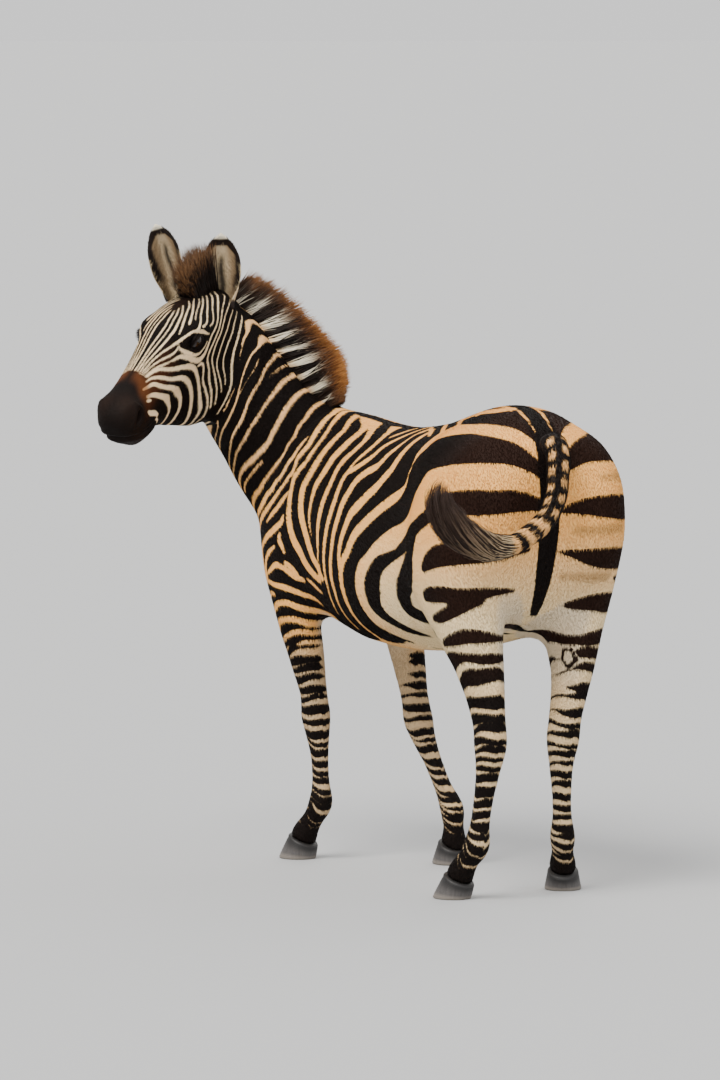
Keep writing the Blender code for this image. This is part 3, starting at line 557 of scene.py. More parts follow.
# ---------------------------------------------------------------- markings
# Each stroke is a run of (along, height, half width) on a chart, in millimetres.
LIGHT_STRIPES = (
    ((-125, 1140, 14), (-118, 1200, 17), (-105, 1235, 16), (-75, 1258, 13), (-30, 1272, 10),
     (50, 1280, 7), (150, 1275, 7), (250, 1265, 6), (330, 1250, 6), (400, 1230, 4)),
    ((-125, 1110, 4), (-110, 1155, 12), (-80, 1190, 15), (-30, 1213, 15), (50, 1224, 13), (150, 1226, 12),
     (250, 1220, 13), (330, 1210, 16), (400, 1195, 18), (460, 1175, 20), (490, 1150, 14), (490, 1125, 5),
     (480, 1095, 4), (472, 1065, 6), (485, 1045, 12), (510, 1030, 16), (555, 1010, 16), (600, 985, 16),
     (645, 955, 16), (690, 920, 16), (720, 870, 14), (745, 845, 13), (757, 810, 13), (757, 770, 11),
     (752, 720, 9), (745, 685, 7), (735, 655, 6), (720, 620, 6)),
    ((570, 1197, 6), (600, 1170, 11), (610, 1130, 14), (610, 1100, 15), (630, 1070, 15), (645, 1050, 15),
     (680, 1022, 16), (705, 1000, 17), (735, 975, 16), (748, 945, 13), (760, 910, 11), (767, 870, 10),
     (762, 830, 9)),
    ((620, 1197, 4), (650, 1185, 4), (665, 1155, 7), (685, 1130, 10), (700, 1100, 12), (735, 1085, 12),
     (770, 1060, 13), (785, 1030, 13), (800, 1000, 13), (805, 960, 12), (812, 920, 11), (816, 870, 9),
     (820, 830, 9), (818, 790, 9), (812, 755, 7), (815, 730, 6), (810, 690, 5), (800, 660, 4)),
    ((660, 1205, 3), (700, 1180, 4), (745, 1150, 7), (760, 1125, 9), (785, 1105, 9), (810, 1090, 9),
     (840, 1075, 9), (848, 1050, 10), (850, 1000, 12), (855, 970, 12), (860, 930, 11), (862, 890, 10),
     (864, 850, 9), (860, 810, 8), (855, 770, 6), (855, 730, 5), (860, 700, 4)),
    ((720, 1200, 3), (740, 1185, 4), (765, 1172, 3)),
    ((860, 1205, 4), (840, 1202, 7), (810, 1190, 9), (800, 1175, 10), (797, 1160, 9), (800, 1145, 8),
     (815, 1125, 7), (830, 1105, 5), (840, 1085, 5)),
    ((920, 1213, 5), (905, 1205, 8), (880, 1190, 9), (862, 1170, 10), (857, 1155, 10), (870, 1130, 10),
     (890, 1105, 12), (900, 1080, 12), (903, 1050, 12), (915, 1000, 13), (918, 960, 13), (914, 920, 10),
     (906, 885, 8), (900, 850, 5), (885, 800, 3)),
    ((975, 1222, 6), (950, 1215, 10), (920, 1203, 12), (905, 1185, 13), (910, 1165, 14), (925, 1140, 15),
     (945, 1110, 15), (955, 1080, 14), (968, 1055, 13), (980, 1030, 12), (984, 990, 9), (978, 950, 7),
     (960, 920, 5), (940, 895, 3)),
    ((1000, 1222, 4), (985, 1212, 9), (975, 1195, 9), (970, 1180, 10), (983, 1155, 11), (998, 1120, 12),
     (1005, 1095, 13), (1020, 1060, 13), (1036, 1030, 14), (1040, 1000, 15), (1033, 970, 16),
     (1020, 945, 16), (995, 915, 15), (965, 880, 15), (935, 845, 13), (905, 820, 11), (880, 790, 9)),
    ((1030, 1240, 4), (1045, 1233, 6), (1035, 1215, 9), (1030, 1190, 8), (1030, 1160, 7), (1037, 1125, 7),
     (1048, 1095, 8), (1070, 1070, 9), (1088, 1045, 10), (1095, 1000, 12), (1092, 950, 14),
     (1075, 910, 15), (1050, 880, 16), (1017, 855, 16), (985, 825, 15), (940, 800, 13), (900, 785, 11)),
    ((1090, 1258, 6), (1080, 1245, 8), (1063, 1225, 10), (1065, 1200, 11), (1065, 1170, 11),
     (1065, 1135, 10), (1085, 1105, 9), (1095, 1070, 8), (1110, 1055, 8), (1125, 1040, 8),
     (1140, 1025, 8), (1155, 1010, 9), (1190, 975, 9), (1235, 940, 10), (1265, 910, 10), (1285, 880, 11),
     (1285, 860, 10), (1270, 830, 9), (1245, 800, 8), (1215, 770, 7)),
    ((1082, 1162, 2), (1090, 1145, 6), (1100, 1125, 8), (1108, 1107, 9), (1125, 1090, 10),
     (1140, 1070, 10), (1155, 1050, 10), (1175, 1035, 11), (1190, 1015, 11), (1210, 1000, 11),
     (1245, 965, 10), (1280, 940, 8), (1305, 920, 5)),
    ((1105, 1012, 3), (1120, 1000, 7), (1135, 985, 9), (1155, 965, 9), (1175, 950, 8), (1205, 925, 4)),
    ((1120, 948, 5), (1125, 930, 10), (1155, 910, 11), (1190, 890, 11), (1220, 870, 10), (1240, 850, 10),
     (1235, 825, 9), (1220, 800, 9), (1200, 775, 8)),
    ((1130, 895, 8), (1130, 880, 10), (1115, 865, 9), (1100, 845, 5)),
    ((1150, 862, 5), (1180, 845, 9), (1200, 825, 9), (1205, 800, 8), (1200, 780, 6)),
    ((1190, 785, 5), (1170, 797, 9), (1140, 812, 10), (1105, 805, 8), (1080, 795, 10), (1050, 782, 10),
     (1010, 777, 7)),
    ((1097, 820, 7), (1070, 810, 8), (1040, 790, 7)),
    ((990, 782, 5), (955, 770, 7), (910, 750, 6)),
    ((1250, 768, 5), (1220, 768, 7), (1190, 765, 7), (1155, 757, 8), (1110, 753, 10), (1070, 745, 10),
     (1030, 735, 9), (985, 728, 7), (955, 715, 5)),
    ((1240, 712, 6), (1210, 722, 8), (1175, 732, 7), (1155, 730, 4)),
    ((1260, 664, 7), (1220, 672, 10), (1175, 690, 12), (1140, 705, 10), (1100, 710, 10), (1065, 700, 11),
     (1020, 690, 11), (980, 685, 11), (930, 680, 11)),
    ((1145, 605, 7), (1115, 618, 8), (1080, 630, 8), (1055, 631, 8), (1020, 622, 7)),
    ((1135, 571, 6), (1100, 580, 7), (1075, 594, 7), (1055, 602, 7), (1020, 600, 7)),
    ((1250, 612, 7), (1210, 622, 9), (1165, 640, 11), (1155, 655, 11), (1120, 663, 10), (1080, 665, 10),
     (1045, 655, 11), (1010, 645, 12), (950, 640, 14)),
    ((1320, 955, 6), (1360, 925, 9), (1420, 900, 9)),
    ((1300, 865, 7), (1340, 845, 10), (1420, 835, 10)),
    ((1275, 800, 7), (1330, 785, 10), (1420, 780, 10)),
    ((1260, 735, 7), (1330, 722, 10), (1420, 715, 10)),
    ((1245, 1335, 8), (1240, 1320, 13), (1245, 1305, 13), (1250, 1283, 13), (1260, 1260, 13),
     (1272, 1230, 13), (1283, 1205, 12), (1300, 1180, 12), (1315, 1152, 11), (1330, 1135, 10),
     (1352, 1110, 9), (1370, 1080, 8)),
    ((1190, 1290, 8), (1190, 1280, 12), (1195, 1265, 13), (1197, 1250, 14), (1203, 1228, 15),
     (1207, 1205, 15), (1220, 1165, 14), (1225, 1147, 14), (1237, 1130, 15), (1260, 1112, 17),
     (1280, 1095, 18), (1305, 1080, 17), (1335, 1060, 14), (1360, 1035, 12), (1375, 1000, 9)),
    ((1130, 1268, 6), (1130, 1255, 10), (1130, 1235, 11), (1130, 1210, 10), (1137, 1185, 9),
     (1137, 1160, 8), (1150, 1135, 8), (1155, 1115, 8), (1170, 1095, 10), (1190, 1075, 10),
     (1215, 1050, 10), (1235, 1030, 11), (1255, 1010, 12), (1280, 995, 12), (1300, 980, 11),
     (1320, 955, 9), (1325, 930, 6)),
    ((1345, 1000, 4), (1335, 1020, 7), (1315, 1035, 4)),
    ((1300, 1385, 10), (1295, 1365, 12), (1297, 1335, 12), (1298, 1310, 12), (1305, 1285, 12),
     (1315, 1255, 12), (1322, 1225, 12), (1333, 1195, 12), (1352, 1168, 11), (1370, 1140, 9),
     (1385, 1110, 7)),
    ((1265, 1360, 6), (1270, 1345, 8), (1275, 1330, 6), (1280, 1318, 3)),
    ((1315, 1362, 4), (1315, 1345, 6), (1320, 1325, 5), (1330, 1300, 2)),
    ((1335, 1430, 9), (1325, 1400, 10), (1330, 1375, 9), (1335, 1345, 9), (1340, 1315, 8),
     (1345, 1280, 8), (1352, 1245, 8), (1365, 1215, 9), (1385, 1185, 9), (1410, 1155, 8)),
    ((1365, 1470, 8), (1352, 1440, 10), (1352, 1415, 10), (1352, 1395, 9), (1353, 1360, 7),
     (1355, 1320, 7), (1357, 1290, 7), (1365, 1265, 6), (1380, 1230, 6), (1400, 1205, 6)),
    ((1400, 1505, 6), (1395, 1485, 9), (1385, 1455, 8), (1375, 1425, 7), (1370, 1390, 4), (1372, 1330, 3)),
)
BACK_STRIPES = (   # along the side, and out from the spine, on top of the back
    ((80, 42, 3), (160, 37, 6), (260, 34, 6), (360, 34, 5), (420, 36, 3)),
    ((270, 95, 7), (310, 75, 8), (350, 55, 8), (400, 32, 4)),
    ((310, 135, 6), (380, 95, 8), (440, 60, 8), (490, 32, 4)),
    ((410, 140, 6), (480, 95, 8), (535, 60, 7), (580, 32, 4)),
    ((510, 130, 5), (560, 90, 7), (610, 60, 6), (650, 34, 4)),
)
THROAT_STRIPES = (   # along the neck, and across it towards the crest
    ((518, -75, 6), (503, -110, 11), (488, -150, 12), (478, -200, 11)),
    ((575, -90, 4), (562, -130, 9), (551, -200, 10)),
    ((632, -90, 4), (622, -120, 9), (612, -200, 10)),
    ((688, -80, 4), (677, -120, 8), (670, -170, 9)),
    ((740, -70, 4), (731, -120, 7)),
    ((758, -50, 4), (768, 0, 7), (772, 50, 4)),
    ((800, -35, 3), (806, 10, 6), (808, 50, 3)),
)
DARK_BANDS = (   # on both sides of the rump, the thighs and the belly in front of them
    ((725, 780, 10), (712, 745, 11), (694, 706, 12), (668, 677, 11), (636, 656, 10), (596, 636, 9),
     (550, 622, 8), (480, 614, 6)),
    ((860, 640, 7), (780, 616, 7), (680, 604, 7), (580, 602, 6), (480, 600, 4)),
    ((140, 1020, 20), (200, 990, 22), (250, 965, 24), (320, 940, 24), (380, 915, 22), (450, 885, 15),
     (505, 865, 19), (550, 845, 26), (580, 810, 34), (595, 780, 37), (604, 740, 30), (590, 715, 22),
     (565, 695, 16), (530, 677, 13), (490, 661, 11), (450, 648, 9), (400, 640, 6)),
    ((260, 950, 25), (300, 900, 40), (320, 860, 48), (370, 840, 45), (430, 800, 33), (445, 780, 32),
     (455, 750, 29), (450, 735, 26), (420, 720, 21), (360, 710, 15), (300, 700, 13), (220, 690, 12)),
)
DARK_BANDS_LEFT = (
    ((130, 1050, 15), (100, 1044, 26), (50, 1044, 33), (0, 1046, 32), (-50, 1048, 28), (-90, 1040, 19),
     (-120, 1030, 10)),
    ((185, 865, 12), (160, 885, 24), (130, 900, 30), (80, 912, 33), (40, 918, 33), (0, 922, 31),
     (-40, 928, 23), (-70, 925, 12)),
    ((195, 790, 16), (160, 797, 22), (120, 800, 22), (80, 800, 20), (30, 807, 16), (0, 812, 12),
     (-30, 812, 5)),
    ((175, 733, 10), (140, 740, 17), (100, 757, 19), (60, 775, 16), (30, 790, 13)),
    ((150, 670, 10), (100, 684, 18), (60, 694, 20), (20, 694, 16), (-10, 687, 6)),
)
DARK_BANDS_RIGHT = (
    ((-95, 1022, 9), (-50, 1030, 20), (0, 1030, 30), (60, 1025, 33), (130, 1030, 26)),
    ((-90, 912, 4), (-45, 904, 14), (0, 895, 26), (60, 890, 30), (140, 885, 28), (180, 870, 12)),
    ((0, 765, 6), (30, 770, 18), (60, 772, 24), (110, 768, 28), (180, 775, 18)),
    ((-10, 668, 5), (30, 672, 13), (80, 680, 20), (130, 680, 20)),
    ((100, 835, 6), (160, 830, 12)),
)
SHADOW_BANDS = (   # faint brown bands between the dark ones, on the right haunch
    ((-60, 967, 8), (0, 970, 13), (50, 972, 10)),
    ((-70, 845, 6), (0, 842, 12), (60, 840, 12)),
    ((100, 1100, 6), (50, 1105, 10), (0, 1105, 6)),
)
FACE_LINES = (   # ahead of the poll, girth from the midline of the face, half width
    ((165, 5, 2), (190, 9, 3), (220, 12, 3), (250, 12, 3), (280, 10, 2.8), (320, 7, 2.5), (360, 6, 2.3),
     (395, 5, 2)),
    ((150, 11, 2), (180, 20, 2.8), (210, 26, 3), (240, 27, 3), (270, 24, 3), (300, 20, 2.8),
     (340, 15, 2.5), (395, 12.5, 2)),
    ((135, 14, 2), (170, 31, 3), (200, 42, 4.2), (235, 46, 4.8), (250, 44, 5), (275, 41, 4.6),
     (300, 36, 4), (330, 29, 3.3), (360, 23, 2.8), (400, 20, 2)),
    ((105, 14, 2), (130, 30, 3), (160, 41, 3.3), (185, 52, 3.8), (205, 60, 4), (235, 67, 3)),
    ((85, 22, 2), (110, 33, 2.8), (135, 47, 3.3), (165, 63, 3.8), (186, 73, 4.6), (196, 78, 3)),
    ((186, 113, 4.4), (202, 107, 4.6), (218, 98, 4.6), (234, 89, 5), (250, 81, 5.2), (265, 73, 4.8),
     (285, 63, 4.2), (300, 55, 3.8), (320, 46, 3.5), (350, 36, 3), (400, 27, 2)),
    ((258, 90, 3), (275, 91, 4), (292, 85, 4.2), (310, 73, 4), (330, 60, 3.6), (360, 45, 3), (400, 34, 2)),
    ((298, 100, 2), (320, 86, 3.4), (345, 68, 3.4), (370, 54, 3), (400, 43, 2)),
    ((80, 36, 2), (100, 48, 2.6), (130, 60, 2.6), (158, 74, 2.6), (170, 82, 2)),
    ((50, 30, 2), (90, 57, 3.2), (125, 74, 3.6), (145, 86, 3.6), (165, 100, 4), (188, 112, 5)),
    ((40, 38, 2), (90, 76, 3.4), (115, 92, 3.6), (130, 106, 3.8), (148, 118, 4), (172, 119, 5)),
    ((20, 40, 2), (65, 78, 3), (90, 100, 3), (108, 120, 3.2), (122, 132, 3.4), (140, 134, 3)),
    ((0, 45, 2), (45, 82, 3.2), (73, 112, 3.6), (95, 136, 3.6), (118, 151, 3.6), (145, 160, 3.6),
     (165, 171, 4), (182, 183, 5), (198, 190, 6.2), (218, 184, 6.8), (238, 163, 6.8), (258, 134, 6.4),
     (278, 112, 5.4), (300, 100, 4)),
    ((0, 75, 2), (50, 112, 2.6), (80, 143, 3), (105, 162, 3.4), (135, 177, 3.6), (158, 188, 3.6),
     (175, 198, 4), (185, 212, 4.2), (184, 238, 4.2), (194, 268, 4.2), (199, 300, 4), (212, 330, 3.4)),
    ((0, 105, 2), (45, 132, 2.8), (75, 157, 3), (100, 176, 3.4), (130, 190, 3.6), (150, 203, 3.6),
     (165, 220, 3.6), (166, 248, 3.6), (172, 280, 3.8), (181, 310, 3.6), (196, 336, 3)),
    ((0, 130, 2), (40, 158, 2.8), (70, 184, 3), (100, 203, 3.2), (128, 222, 3.4), (147, 242, 3.4),
     (153, 268, 3.4), (158, 302, 3), (165, 325, 2)),
    ((0, 155, 2), (35, 182, 2.8), (60, 206, 3), (88, 226, 3.2), (114, 248, 3.2), (128, 274, 3),
     (136, 296, 2.4), (145, 315, 2)),
    ((-10, 175, 3), (25, 205, 3.4), (55, 232, 3.6), (80, 256, 3.6), (100, 280, 3.4), (117, 305, 3.4),
     (133, 330, 3.2), (150, 346, 3.2), (170, 358, 3), (190, 366, 3)),
    ((395, 50, 3), (370, 61, 4.2), (345, 80, 5), (315, 115, 6.2), (280, 146, 7), (255, 168, 7.8),
     (237, 192, 7.2), (231, 220, 6.2), (231, 250, 6), (235, 280, 6), (237, 305, 5.8), (252, 322, 4)),
    ((222, 196, 3), (207, 204, 4.2), (204, 218, 4.2), (213, 246, 3.8), (213, 276, 3.6), (216, 306, 3.6),
     (226, 332, 3)),
    ((408, 56, 3), (383, 71, 4.8), (357, 100, 5.6), (330, 136, 6.4), (293, 171, 7.4), (268, 202, 7.8),
     (261, 236, 7.8), (265, 266, 7.8), (272, 288, 7.4), (295, 300, 6)),
    ((432, 60, 4), (416, 70, 5.5), (392, 87, 6.2), (368, 122, 6.8), (335, 166, 7.5), (308, 200, 8.2),
     (310, 230, 7.8), (332, 240, 5.5), (345, 255, 3)),
    ((437, 84, 4), (410, 106, 6.4), (380, 142, 7.6), (360, 172, 7.8), (353, 198, 6), (372, 212, 4),
     (385, 225, 2)),
    ((460, 84, 4), (440, 96, 5), (427, 108, 3)),
    ((468, 104, 5), (445, 130, 7.5), (420, 155, 7.5), (412, 182, 5), (425, 200, 3)),
)
BROW_PATCHES = (
    ((202, 112, 2.5), (191, 121, 4.8), (178, 132, 4.8), (168, 143, 3.6), (157, 150, 2.6)),
    ((262, 98, 3), (256, 116, 4.6), (242, 140, 4.6), (226, 161, 3.6), (207, 173, 2.4), (188, 172, 1.8),
     (174, 165, 1.2)),
)
DARK_LINES = (   # thin dark lines that split the light patch over the eye
    ((185, 100, 2), (196, 106, 3), (205, 100, 2)),
)
DARK_FRONT = (  # lower edge of the widest rump band, and the rear edge of the first light flank stripe
    (-160, 1080), (-120, 1090), (-100, 1110), (-50, 1135), (0, 1145), (100, 1140), (200, 1125),
    (260, 1110), (300, 1075), (335, 1050), (370, 1000), (420, 970), (500, 945), (570, 910), (620, 870),
    (650, 850), (675, 800), (678, 750), (665, 700), (640, 660), (600, 630), (500, 600))
LEG_TOPS = {    # heights between which the trunk's markings take over
    "fore_left": (0.584, 0.600), "fore_right": (0.612, 0.640),
    "hind_left": (0.646, 0.662), "hind_right": (0.646, 0.662)}
LEG_BANDS = {   # height and half width of each dark band, in millimetres
    "fore_left": ((642, 12), (605, 11), (575, 10), (548, 9), (524, 8), (499, 9), (472, 9), (444, 8),
                  (416, 10), (383, 9), (348, 9), (328, 6), (302, 10), (272, 9), (247, 8), (223, 7), (200, 6),
                  (180, 6), (163, 5), (147, 6), (130, 6), (116, 5.5), (103, 5), (91, 5)),
    "hind_left": ((633, 17), (575, 16), (520, 15), (480, 11), (452, 9), (425, 9), (399, 7), (376, 7),
                  (354, 6), (327, 12), (295, 12), (262, 12), (231, 10), (205, 8), (180, 6), (160, 6),
                  (142, 6), (124, 6), (108, 5.5), (93, 5)),
    "hind_right": ((618, 14), (577, 10), (548, 9), (520, 10), (486, 10), (457, 9), (428, 8), (402, 8),
                   (377, 8), (350, 8), (322, 9), (293, 9), (262, 9), (233, 8), (208, 7), (185, 7), (163, 6),
                   (144, 6), (126, 6), (108, 6), (93, 5)),
}
LEG_BANDS["fore_right"] = [(z + 6, half * 0.95) for z, half in LEG_BANDS["fore_left"]]
LEG_LEAN = {    # of the bands, at heights of 0.10, 0.20, 0.32, 0.47 and 0.60
    "fore": (0.45, 0.15, 0.15, 0.0, -0.30), "hind": (0.70, 0.25, 0.10, -0.05, -0.28)}
FORE_HALF = 0.55            # how far along the spine the part of the forelegs starts
SCAR = (-0.060, 0.628)      # forward of the leg's axis, height
REACH = 0.03                # how far off a marking's edge its depth still counts
FACE_LINE_WIDTH = 0.84


def in_metres(table, width=1.0):
    return [np.array(stroke) * (0.001, 0.001, 0.001 * width) for stroke in table]


def stroke_depth(u, v, stroke):
    """How far each chart point lies inside a stroke; negative outside it, -REACH when far off."""
    line = finer(stroke)
    low, high = line.min(axis=0), line.max(axis=0)
    pad = high[2] + REACH
    close = np.nonzero((u > low[0] - pad) & (u < high[0] + pad) & (v > low[1] - pad) & (v < high[1] + pad))[0]
    best = np.full(len(close), -REACH)
    for (ax, ay, half), (bx, by, next_half) in zip(line[:-1], line[1:]):
        x, y, dx, dy = u[close] - ax, v[close] - ay, bx - ax, by - ay
        t = np.clip((x * dx + y * dy) / max(dx * dx + dy * dy, 1e-12), 0, 1)
        best = np.maximum(best, half + t * (next_half - half) - np.hypot(x - t * dx, y - t * dy))
    depth = np.full(len(u), -REACH)
    depth[close] = best
    return depth


def front_depth(u, v):
    """Positive above and ahead of the rump's dark front, as a distance held within REACH."""
    edge = np.array([(*spot, 0.0) for spot in DARK_FRONT]) / 1000
    line = finer(edge)[:, :2]
    far = np.vstack((line, (line[-1][0], -1.0), (9.0, -1.0), (9.0, 9.0), (-9.0, 9.0), (-9.0, line[0][1])))
    inside = np.zeros(len(u), bool)
    for a, b in zip(far, np.roll(far, -1, axis=0)):
        if a[1] != b[1]:
            inside ^= ((a[1] > v) != (b[1] > v)) & (u < (b[0] - a[0]) * (v - a[1]) / (b[1] - a[1]) + a[0])
    return stroke_depth(u, v, edge) * np.where(inside, -1, 1)


def painted(depth, u, v, strokes, dark, where=True):
    for stroke in strokes:
        inside = np.where(where, stroke_depth(u, v, stroke), -REACH)
        depth = np.maximum(depth, inside) if dark else np.minimum(depth, -inside)
    return depth


def evened(u, z):
    """The trunk chart, drawn out along the turned upper neck, where it is cramped."""
    return u + 0.9 * np.maximum(u - 1.26, 0) * soft(z, 1.02, 1.22)


def light_stroke(stroke):
    """A light stripe on the evened chart, carried on round the throat, thinner from the shoulder up."""
    u, z, half = stroke.T
    du, dz = u[-1] - u[-2], z[-1] - z[-2]
    if u[-1] >= 1.31 and z[-1] >= 0.9:
        on = 0.09 / math.hypot(du, dz)
        u, z = np.append(u, u[-1] + du * on), np.append(z, z[-1] + dz * on)
        half = np.append(half, max(half[-1], 0.007))
    less = 0.16 * soft(u, 0.8, 0.9) + 0.30 * soft(u, 1.04, 1.18) * soft(z, 0.95, 1.05)
    less = less + 0.16 * soft(u, 1.2, 1.3) * soft(z, 1.22, 1.32)
    return np.stack((evened(u, z), z, half * (1 - less)), 1)


def leg_of(co):
    """Index of the nearest leg, and how far off its axis is."""
    gaps = np.array([np.hypot(*leg_places(co, leg)) for leg in LEG_AXES])
    return gaps.argmin(axis=0), gaps.min(axis=0)


def leg_depth(co, leg, k):
    """Metres inside the dark bands and the black sock of one leg."""
    z = co[:, 2]
    ahead, out = leg_places(co, leg)
    inward = np.maximum(-out - 0.008 if leg.endswith("left") else out - 0.008, 0)
    wobble = 0.004 * np.sin(9 * z + 2.2 * np.arctan2(out, ahead) + k)
    wobble = wobble + 0.0022 * np.sin(31 * z + 3 * k + 60 * ahead)
    height = z - np.interp(z, (0.10, 0.20, 0.32, 0.47, 0.60), LEG_LEAN[leg[:4]]) * ahead + wobble
    fade = (0.10 + (0.42 if leg[:4] == "fore" else 0.16) * soft(z, 0.42, 0.56)) * inward
    bands = np.full(len(co), -REACH)
    for n, (centre, half) in enumerate(np.array(LEG_BANDS[leg]) / 1000):
        wide = half * (1.30 if centre < 0.22 else 1.12) * (1 + 0.18 * np.sin(2.7 * n + 40 * ahead))
        tilt = 0.10 * math.sin(2.4 * n + k)
        bands = np.maximum(bands, wide - fade - np.abs(height - centre - tilt * ahead))
    if leg == "hind_right":     # an old scar, ringed with dark hair
        x, y = ahead - SCAR[0], z - SCAR[1]
        ring = np.hypot(x * 1.2, y) + 0.002 * np.sin(5 * np.arctan2(y, x))
        scarred = np.maximum(np.minimum(bands, ring - 0.030), 0.0056 - np.abs(ring - 0.0215))
        bands = np.where(out > -0.02, scarred, bands)
    sock = np.interp(height, (0.0, 0.082, 0.108, 0.2), (0.03, 0.012, -0.010, -0.03)) + 0.3 * wobble
    return np.maximum(bands, sock)


def stripe_depth(co):
    """Metres inside the dark markings, negative in the light ones, for points near the skin."""
    u, z, left = trunk_chart(co)
    s, _ = spine_places(co)
    light = [light_stroke(stroke) for stroke in in_metres(LIGHT_STRIPES)]
    depth = painted(front_depth(u, z), evened(u, z), z, light, False)
    depth = painted(depth, u, np.abs(left), in_metres(BACK_STRIPES), False, z > 1.185)
    depth = painted(depth, *neck_chart(co), in_metres(THROAT_STRIPES), False)
    depth = painted(depth, u, z, in_metres(DARK_BANDS), True)
    depth = painted(depth, u, z, in_metres(DARK_BANDS_LEFT), True, left >= 0)
    depth = painted(depth, u, z, in_metres(DARK_BANDS_RIGHT), True, left < 0)
    # the dark line along the back, and the one that falls from the tail between the buttocks: dark hair
    # there, widened with painted shade in the cleft
    cleft = np.interp(z, (0.70, 0.76, 0.85, 0.95, 1.05, 1.12, 1.20),
                      (0.0, 0.015, 0.023, 0.027, 0.028, 0.030, 0.034))
    for half, here in ((0.022, (z > 1.17) & (s < 1.0)), (cleft, (s < 0.12) & (z > 0.70) & (z < 1.22))):
        depth = np.where(here, np.maximum(depth, np.clip(half - np.abs(left), -REACH, REACH)), depth)
    which, _ = leg_of(co)
    for k, leg in enumerate(LEG_AXES):
        share = (which == k) * (1 - soft(z, *LEG_TOPS[leg])) * ((s > FORE_HALF) | (leg[:4] == "hind"))
        depth = depth * (1 - share) + leg_depth(co, leg, k) * share
    return depth, u, left


def face_depth(co):
    """The same for the face, and how much of a point is face rather than neck."""
    s, girth, left = face_chart(co)
    lines = in_metres(FACE_LINES, FACE_LINE_WIDTH) + in_metres(BROW_PATCHES)
    depth = painted(np.full(len(co), REACH), s, girth, lines, False)
    depth = painted(depth, s, girth, in_metres(DARK_LINES), True)
    rear = np.interp(girth, (0.0, 0.05, 0.10, 0.16, 0.20, 0.25, 0.30, 0.34, 0.37, 0.42),
                     (0.0, -0.01, -0.03, -0.02, 0.005, 0.055, 0.095, 0.125, 0.17, 0.25))
    share = soft(s - rear, -0.004, 0.004) * (head_share(co) > 0.02) * (np.abs(left) < 0.16)
    return depth, share, s, girth, left


JET = srgb(9, 6, 5)
MUZZLE = srgb(10, 7, 6)


def coat_markings(co):
    """Depth inside the dark markings, and the light and dark colours, at points of the skin."""
    depth, u, left = stripe_depth(co)
    face, share, s, girth, side = face_depth(co)
    depth = depth * (1 - share) + face * share
    z = co[:, 2]
    under = soft(-z, -1.02, -0.70) * (1 - soft(u, 0.50, 0.78))
    light = blended(srgb(255, 190, 106), (srgb(246, 221, 174), under))
    which, gap = leg_of(co)
    for k, leg in enumerate(LEG_AXES):      # whiter inside the thighs and under the belly
        away = leg_places(co, leg)[1] * (-1 if leg.endswith("left") else 1)
        inner = (which == k) * (1 - soft(z, 0.74, 0.86)) * soft(away, 0.0, 0.035) * (gap < 0.15)
        light = blended(light, (srgb(222, 206, 180), inner * 0.8))
    shadow = painted(np.full(len(co), -REACH), u, z, in_metres(SHADOW_BANDS), True, left < 0)
    # rusty patch over the black muzzle
    rust = share * soft(s - 0.25 * girth, 0.378, 0.405)
    rust = rust * soft(girth, -0.004, 0.022) * (1 - soft(girth, 0.080, 0.104))
    edge = 0.438 + 0.032 * soft(girth, 0.014, 0.07) + 0.012 * soft(girth, 0.08, 0.14)
    black = share * soft(s - edge, -0.034, 0.008)
    # painted sheen: a lighter brown spot on top of the black muzzle
    painted_sheen = black * hump(s, 0.50, 0.03) * hump(np.abs(side), 0.03, 0.03)
    apex = share * hump(s, 0.13, 0.035) * hump(girth, 0.0, 0.016)
    light = blended(
        light,
        (srgb(226, 196, 150), (1 - soft(z, 0.50, 0.64)) * 0.85),
        # painted shade: the forelegs' light hair is greyer and darker, for the shade they stand in
        (srgb(190, 164, 128), (1 - soft(z, 0.52, 0.66)) * soft(u, 0.7, 0.8) * 0.85),
        (srgb(150, 125, 95), (1 - soft(z, 0.06, 0.16)) * 0.6),
        (srgb(255, 212, 156), soft(u, 1.0, 1.25) * soft(z, 0.95, 1.15) * 0.7),
        (srgb(255, 228, 184), share),
        (srgb(160, 118, 72), 0.55 * soft(shadow, -0.008, 0.006) * (1 - share)),
        (srgb(160, 102, 52), 0.85 * rust),
        (MUZZLE, black),
        (srgb(206, 140, 86), 0.6 * apex))
    brown = 0.7 * share * soft(s, 0.24, 0.38) * soft(girth, 0.03, 0.07) * (1 - soft(girth, 0.10, 0.145))
    dark = blended(
        JET,
        (srgb(35, 19, 12), soft(-u, -0.30, -0.05) * soft(z, 0.5, 0.7)),
        # black along the midline: the back's dark line, and painted shade with dark hair in the cleft between
        # the buttocks
        (JET, (1 - soft(np.abs(left), 0.025, 0.045)) * (1 - share)),
        (srgb(84, 43, 19), brown),
        (srgb(92, 52, 26), rust),
        (MUZZLE, black),
        # painted sheen on the muzzle
        (srgb(34, 22, 16), 0.7 * painted_sheen),
        (srgb(44, 25, 15), 0.5 * apex))
    return depth * (1 - black) + 0.02 * black, light, dark


